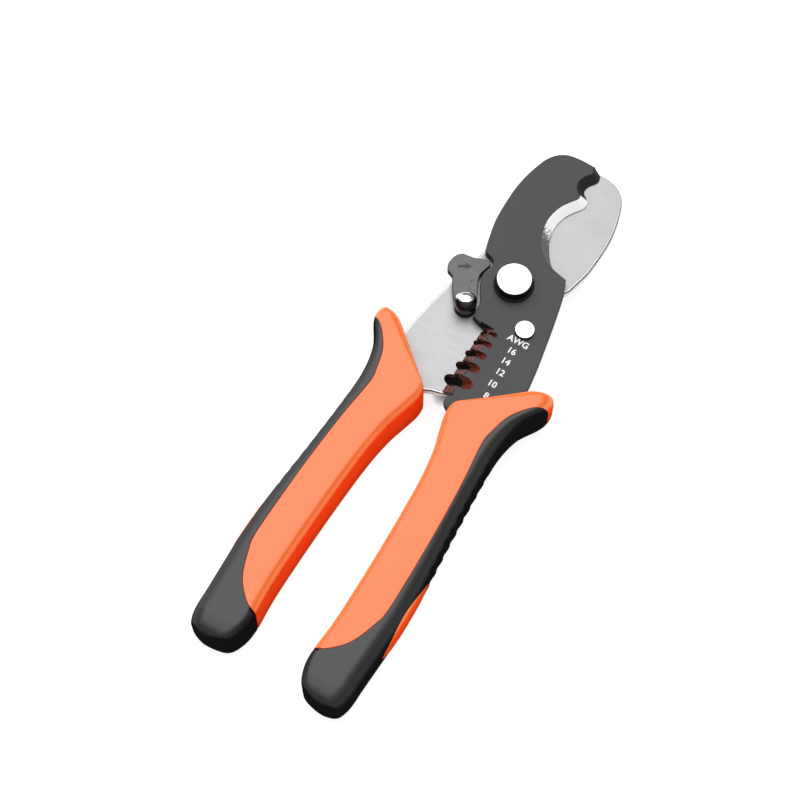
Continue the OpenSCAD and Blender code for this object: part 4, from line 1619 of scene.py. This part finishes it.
@dataclass
class Studio:
    """Camera, lights and floor.

    Attributes:
        camera_at: Place of the camera in millimetres.
        right: Direction of the picture's right side.
        up: Direction of the picture's top.
        back: Direction from the object to the camera.
        lens: Focal length in millimetres.
        shadow_spot_at: Middle, in metres, of the painted shadow on the floor under the stripping holes.
        shadow_spot_length: How many times longer than wide the spot is.
        shadow_spot_edge: Distance from its middle, in centimetres, where the floor starts to grow light, and
            where it is light.
    """

    camera_at: tuple[float, float, float] = (110.62, -200.24, 538.69)
    right: tuple[float, float, float] = (0.85501, 0.51861, -0.0025)
    up: tuple[float, float, float] = (-0.47438, 0.78401, 0.40033)
    back: tuple[float, float, float] = (0.20958, -0.34109, 0.91637)
    lens: float = 87.1
    shadow_spot_at: Point = (-0.0021, 0.0208)
    shadow_spot_length: float = 2.6
    shadow_spot_edge: Point = (1.0, 1.65)

    def build(self) -> None:
        """Makes the camera, the lights and the floor."""
        self._camera()
        self._light("key_box", (-0.24, 0.38, 1.15), 1.4, 15.5)
        self._light("fill_card", (-0.95, 0.4, 0.5), 0.7, 4.0)
        self._world()
        bpy.context.scene.view_settings.view_transform = "Standard"
        self._floor()
        LOG.info("studio: camera, lights and floor")

    def _camera(self) -> None:
        """Puts the camera where the picture was taken from."""
        data = bpy.data.cameras.new("camera")
        data.lens = self.lens
        data.sensor_width = 36.0
        camera = bpy.data.objects.new("camera", data)
        turn = Matrix((self.right, self.up, self.back)).transposed().to_4x4()
        camera.matrix_world = Matrix.Translation(Vector(self.camera_at) * MM) @ turn
        data.clip_start, data.clip_end = 0.02, 50.0
        bpy.context.scene.collection.objects.link(camera)
        bpy.context.scene.camera = camera

    @staticmethod
    def _world() -> None:
        """Lights the room from above, and leaves it dim near the floor."""
        world = bpy.data.worlds.new("studio")
        world.use_nodes = True
        nodes, links = world.node_tree.nodes, world.node_tree.links
        place = nodes.new("ShaderNodeTexCoord")
        split = nodes.new("ShaderNodeSeparateXYZ")
        ramp = nodes.new("ShaderNodeValToRGB")
        Tree.set_stops(ramp.color_ramp, ((0.0, 0.1), (0.35, 0.16), (0.75, 0.8), (1.0, 1.0)))
        links.new(place.outputs["Generated"], split.inputs[0])
        links.new(split.outputs["Z"], ramp.inputs[0])
        links.new(ramp.outputs[0], nodes["Background"].inputs["Color"])
        nodes["Background"].inputs["Strength"].default_value = 1.28
        bpy.context.scene.world = world

    @staticmethod
    def _light(name: str, at: tuple[float, float, float], size: float, power: float) -> None:
        """Adds a square softbox that looks at the middle of the tool.

        Args:
            name: Name of the light.
            at: Its place in metres.
            size: Length of its side in metres.
            power: Its power in watts.
        """
        data = bpy.data.lights.new(name, "AREA")
        data.shape = "SQUARE"
        data.size = size
        data.energy = power
        light = bpy.data.objects.new(name, data)
        light.location = at
        light.rotation_euler = Vector(at).to_track_quat("Z", "Y").to_euler()
        bpy.context.scene.collection.objects.link(light)

    def _floor(self) -> None:
        """Lays a pale floor under the tool, with a painted shadow under the stripping holes."""
        mesh = bmesh.new()
        bmesh.ops.create_grid(mesh, x_segments=2, y_segments=2, size=6.0)
        data = bpy.data.meshes.new("floor")
        mesh.to_mesh(data)
        mesh.free()
        data.materials.append(self._pale_floor())
        floor = bpy.data.objects.new("floor", data)
        bpy.context.scene.collection.objects.link(floor)

    def _pale_floor(self) -> bpy.types.Material:
        """Builds the floor's material.

        Returns:
            The material, which is painted dark under the stripping holes as the tool's shadow.
        """
        tree = Tree("pale_floor")
        x, y = self.shadow_spot_at
        points = {0: tree.scaled((self.shadow_spot_length, 1.0, 1.0)), 1: (x * self.shadow_spot_length, y, 0.0)}
        away = tree.node("ShaderNodeVectorMath", {"operation": "DISTANCE"}, points, "Value")
        dark, light = self.shadow_spot_edge
        # A ramp runs from 0 to 1, which is ten centimetres here.
        lit = tree.ramp(away * 10.0, (dark / 10, 0.0), (light / 10, 1.0))
        lit = lit * lit
        pale = tree.mix((0.25, 0.25, 0.25), (0.24, 0.24, 0.243), tree.noise(3, 2))
        # Painted shadow: the floor is near black and doesn't glow under the stripping holes.
        return tree.surface({
            "Base Color": tree.mix((0.02, 0.02, 0.02), pale, lit),
            "Roughness": 0.9,
            "Specular IOR Level": 0.1,
            "Emission Color": tree.mix((0.0, 0.0, 0.0), (1.0, 1.0, 1.0), lit),
            "Emission Strength": 0.84,
        })


def main() -> None:
    """Builds the pieces and the studio."""
    logging.basicConfig(level=logging.INFO, format="%(name)s: %(message)s")
    dresser = Dresser()
    Studio().build()
    Plate("rear_blade", Body.REAR, Slot.REAR_STEEL,
          (REAR_FACE, REAR_RIM, REAR_LINE, GROUND, GROUND, COMB_GROUND, SCOOP, REAR_WALL, COMB_WALL),
          0.55).build(dresser)
    Plate("front_blade", Body.FRONT, Slot.FRONT_STEEL,
          (FRONT_FACE, FRONT_RIM, FRONT_RIM, GROUND, TIP_GROUND, COMB_GROUND, SCOOP, FRONT_WALL, COMB_WALL),
          0.25).build(dresser)
    PivotJoint().build(dresser)
    dresser.repaint("opening_spring", WIRE)
    Lock().build(dresser)
    Stop().build(dresser)
    Grip(left=True).build(dresser)
    Grip(left=False).build(dresser)
    Marks().build(dresser)


if __name__ == "__main__":
    main()
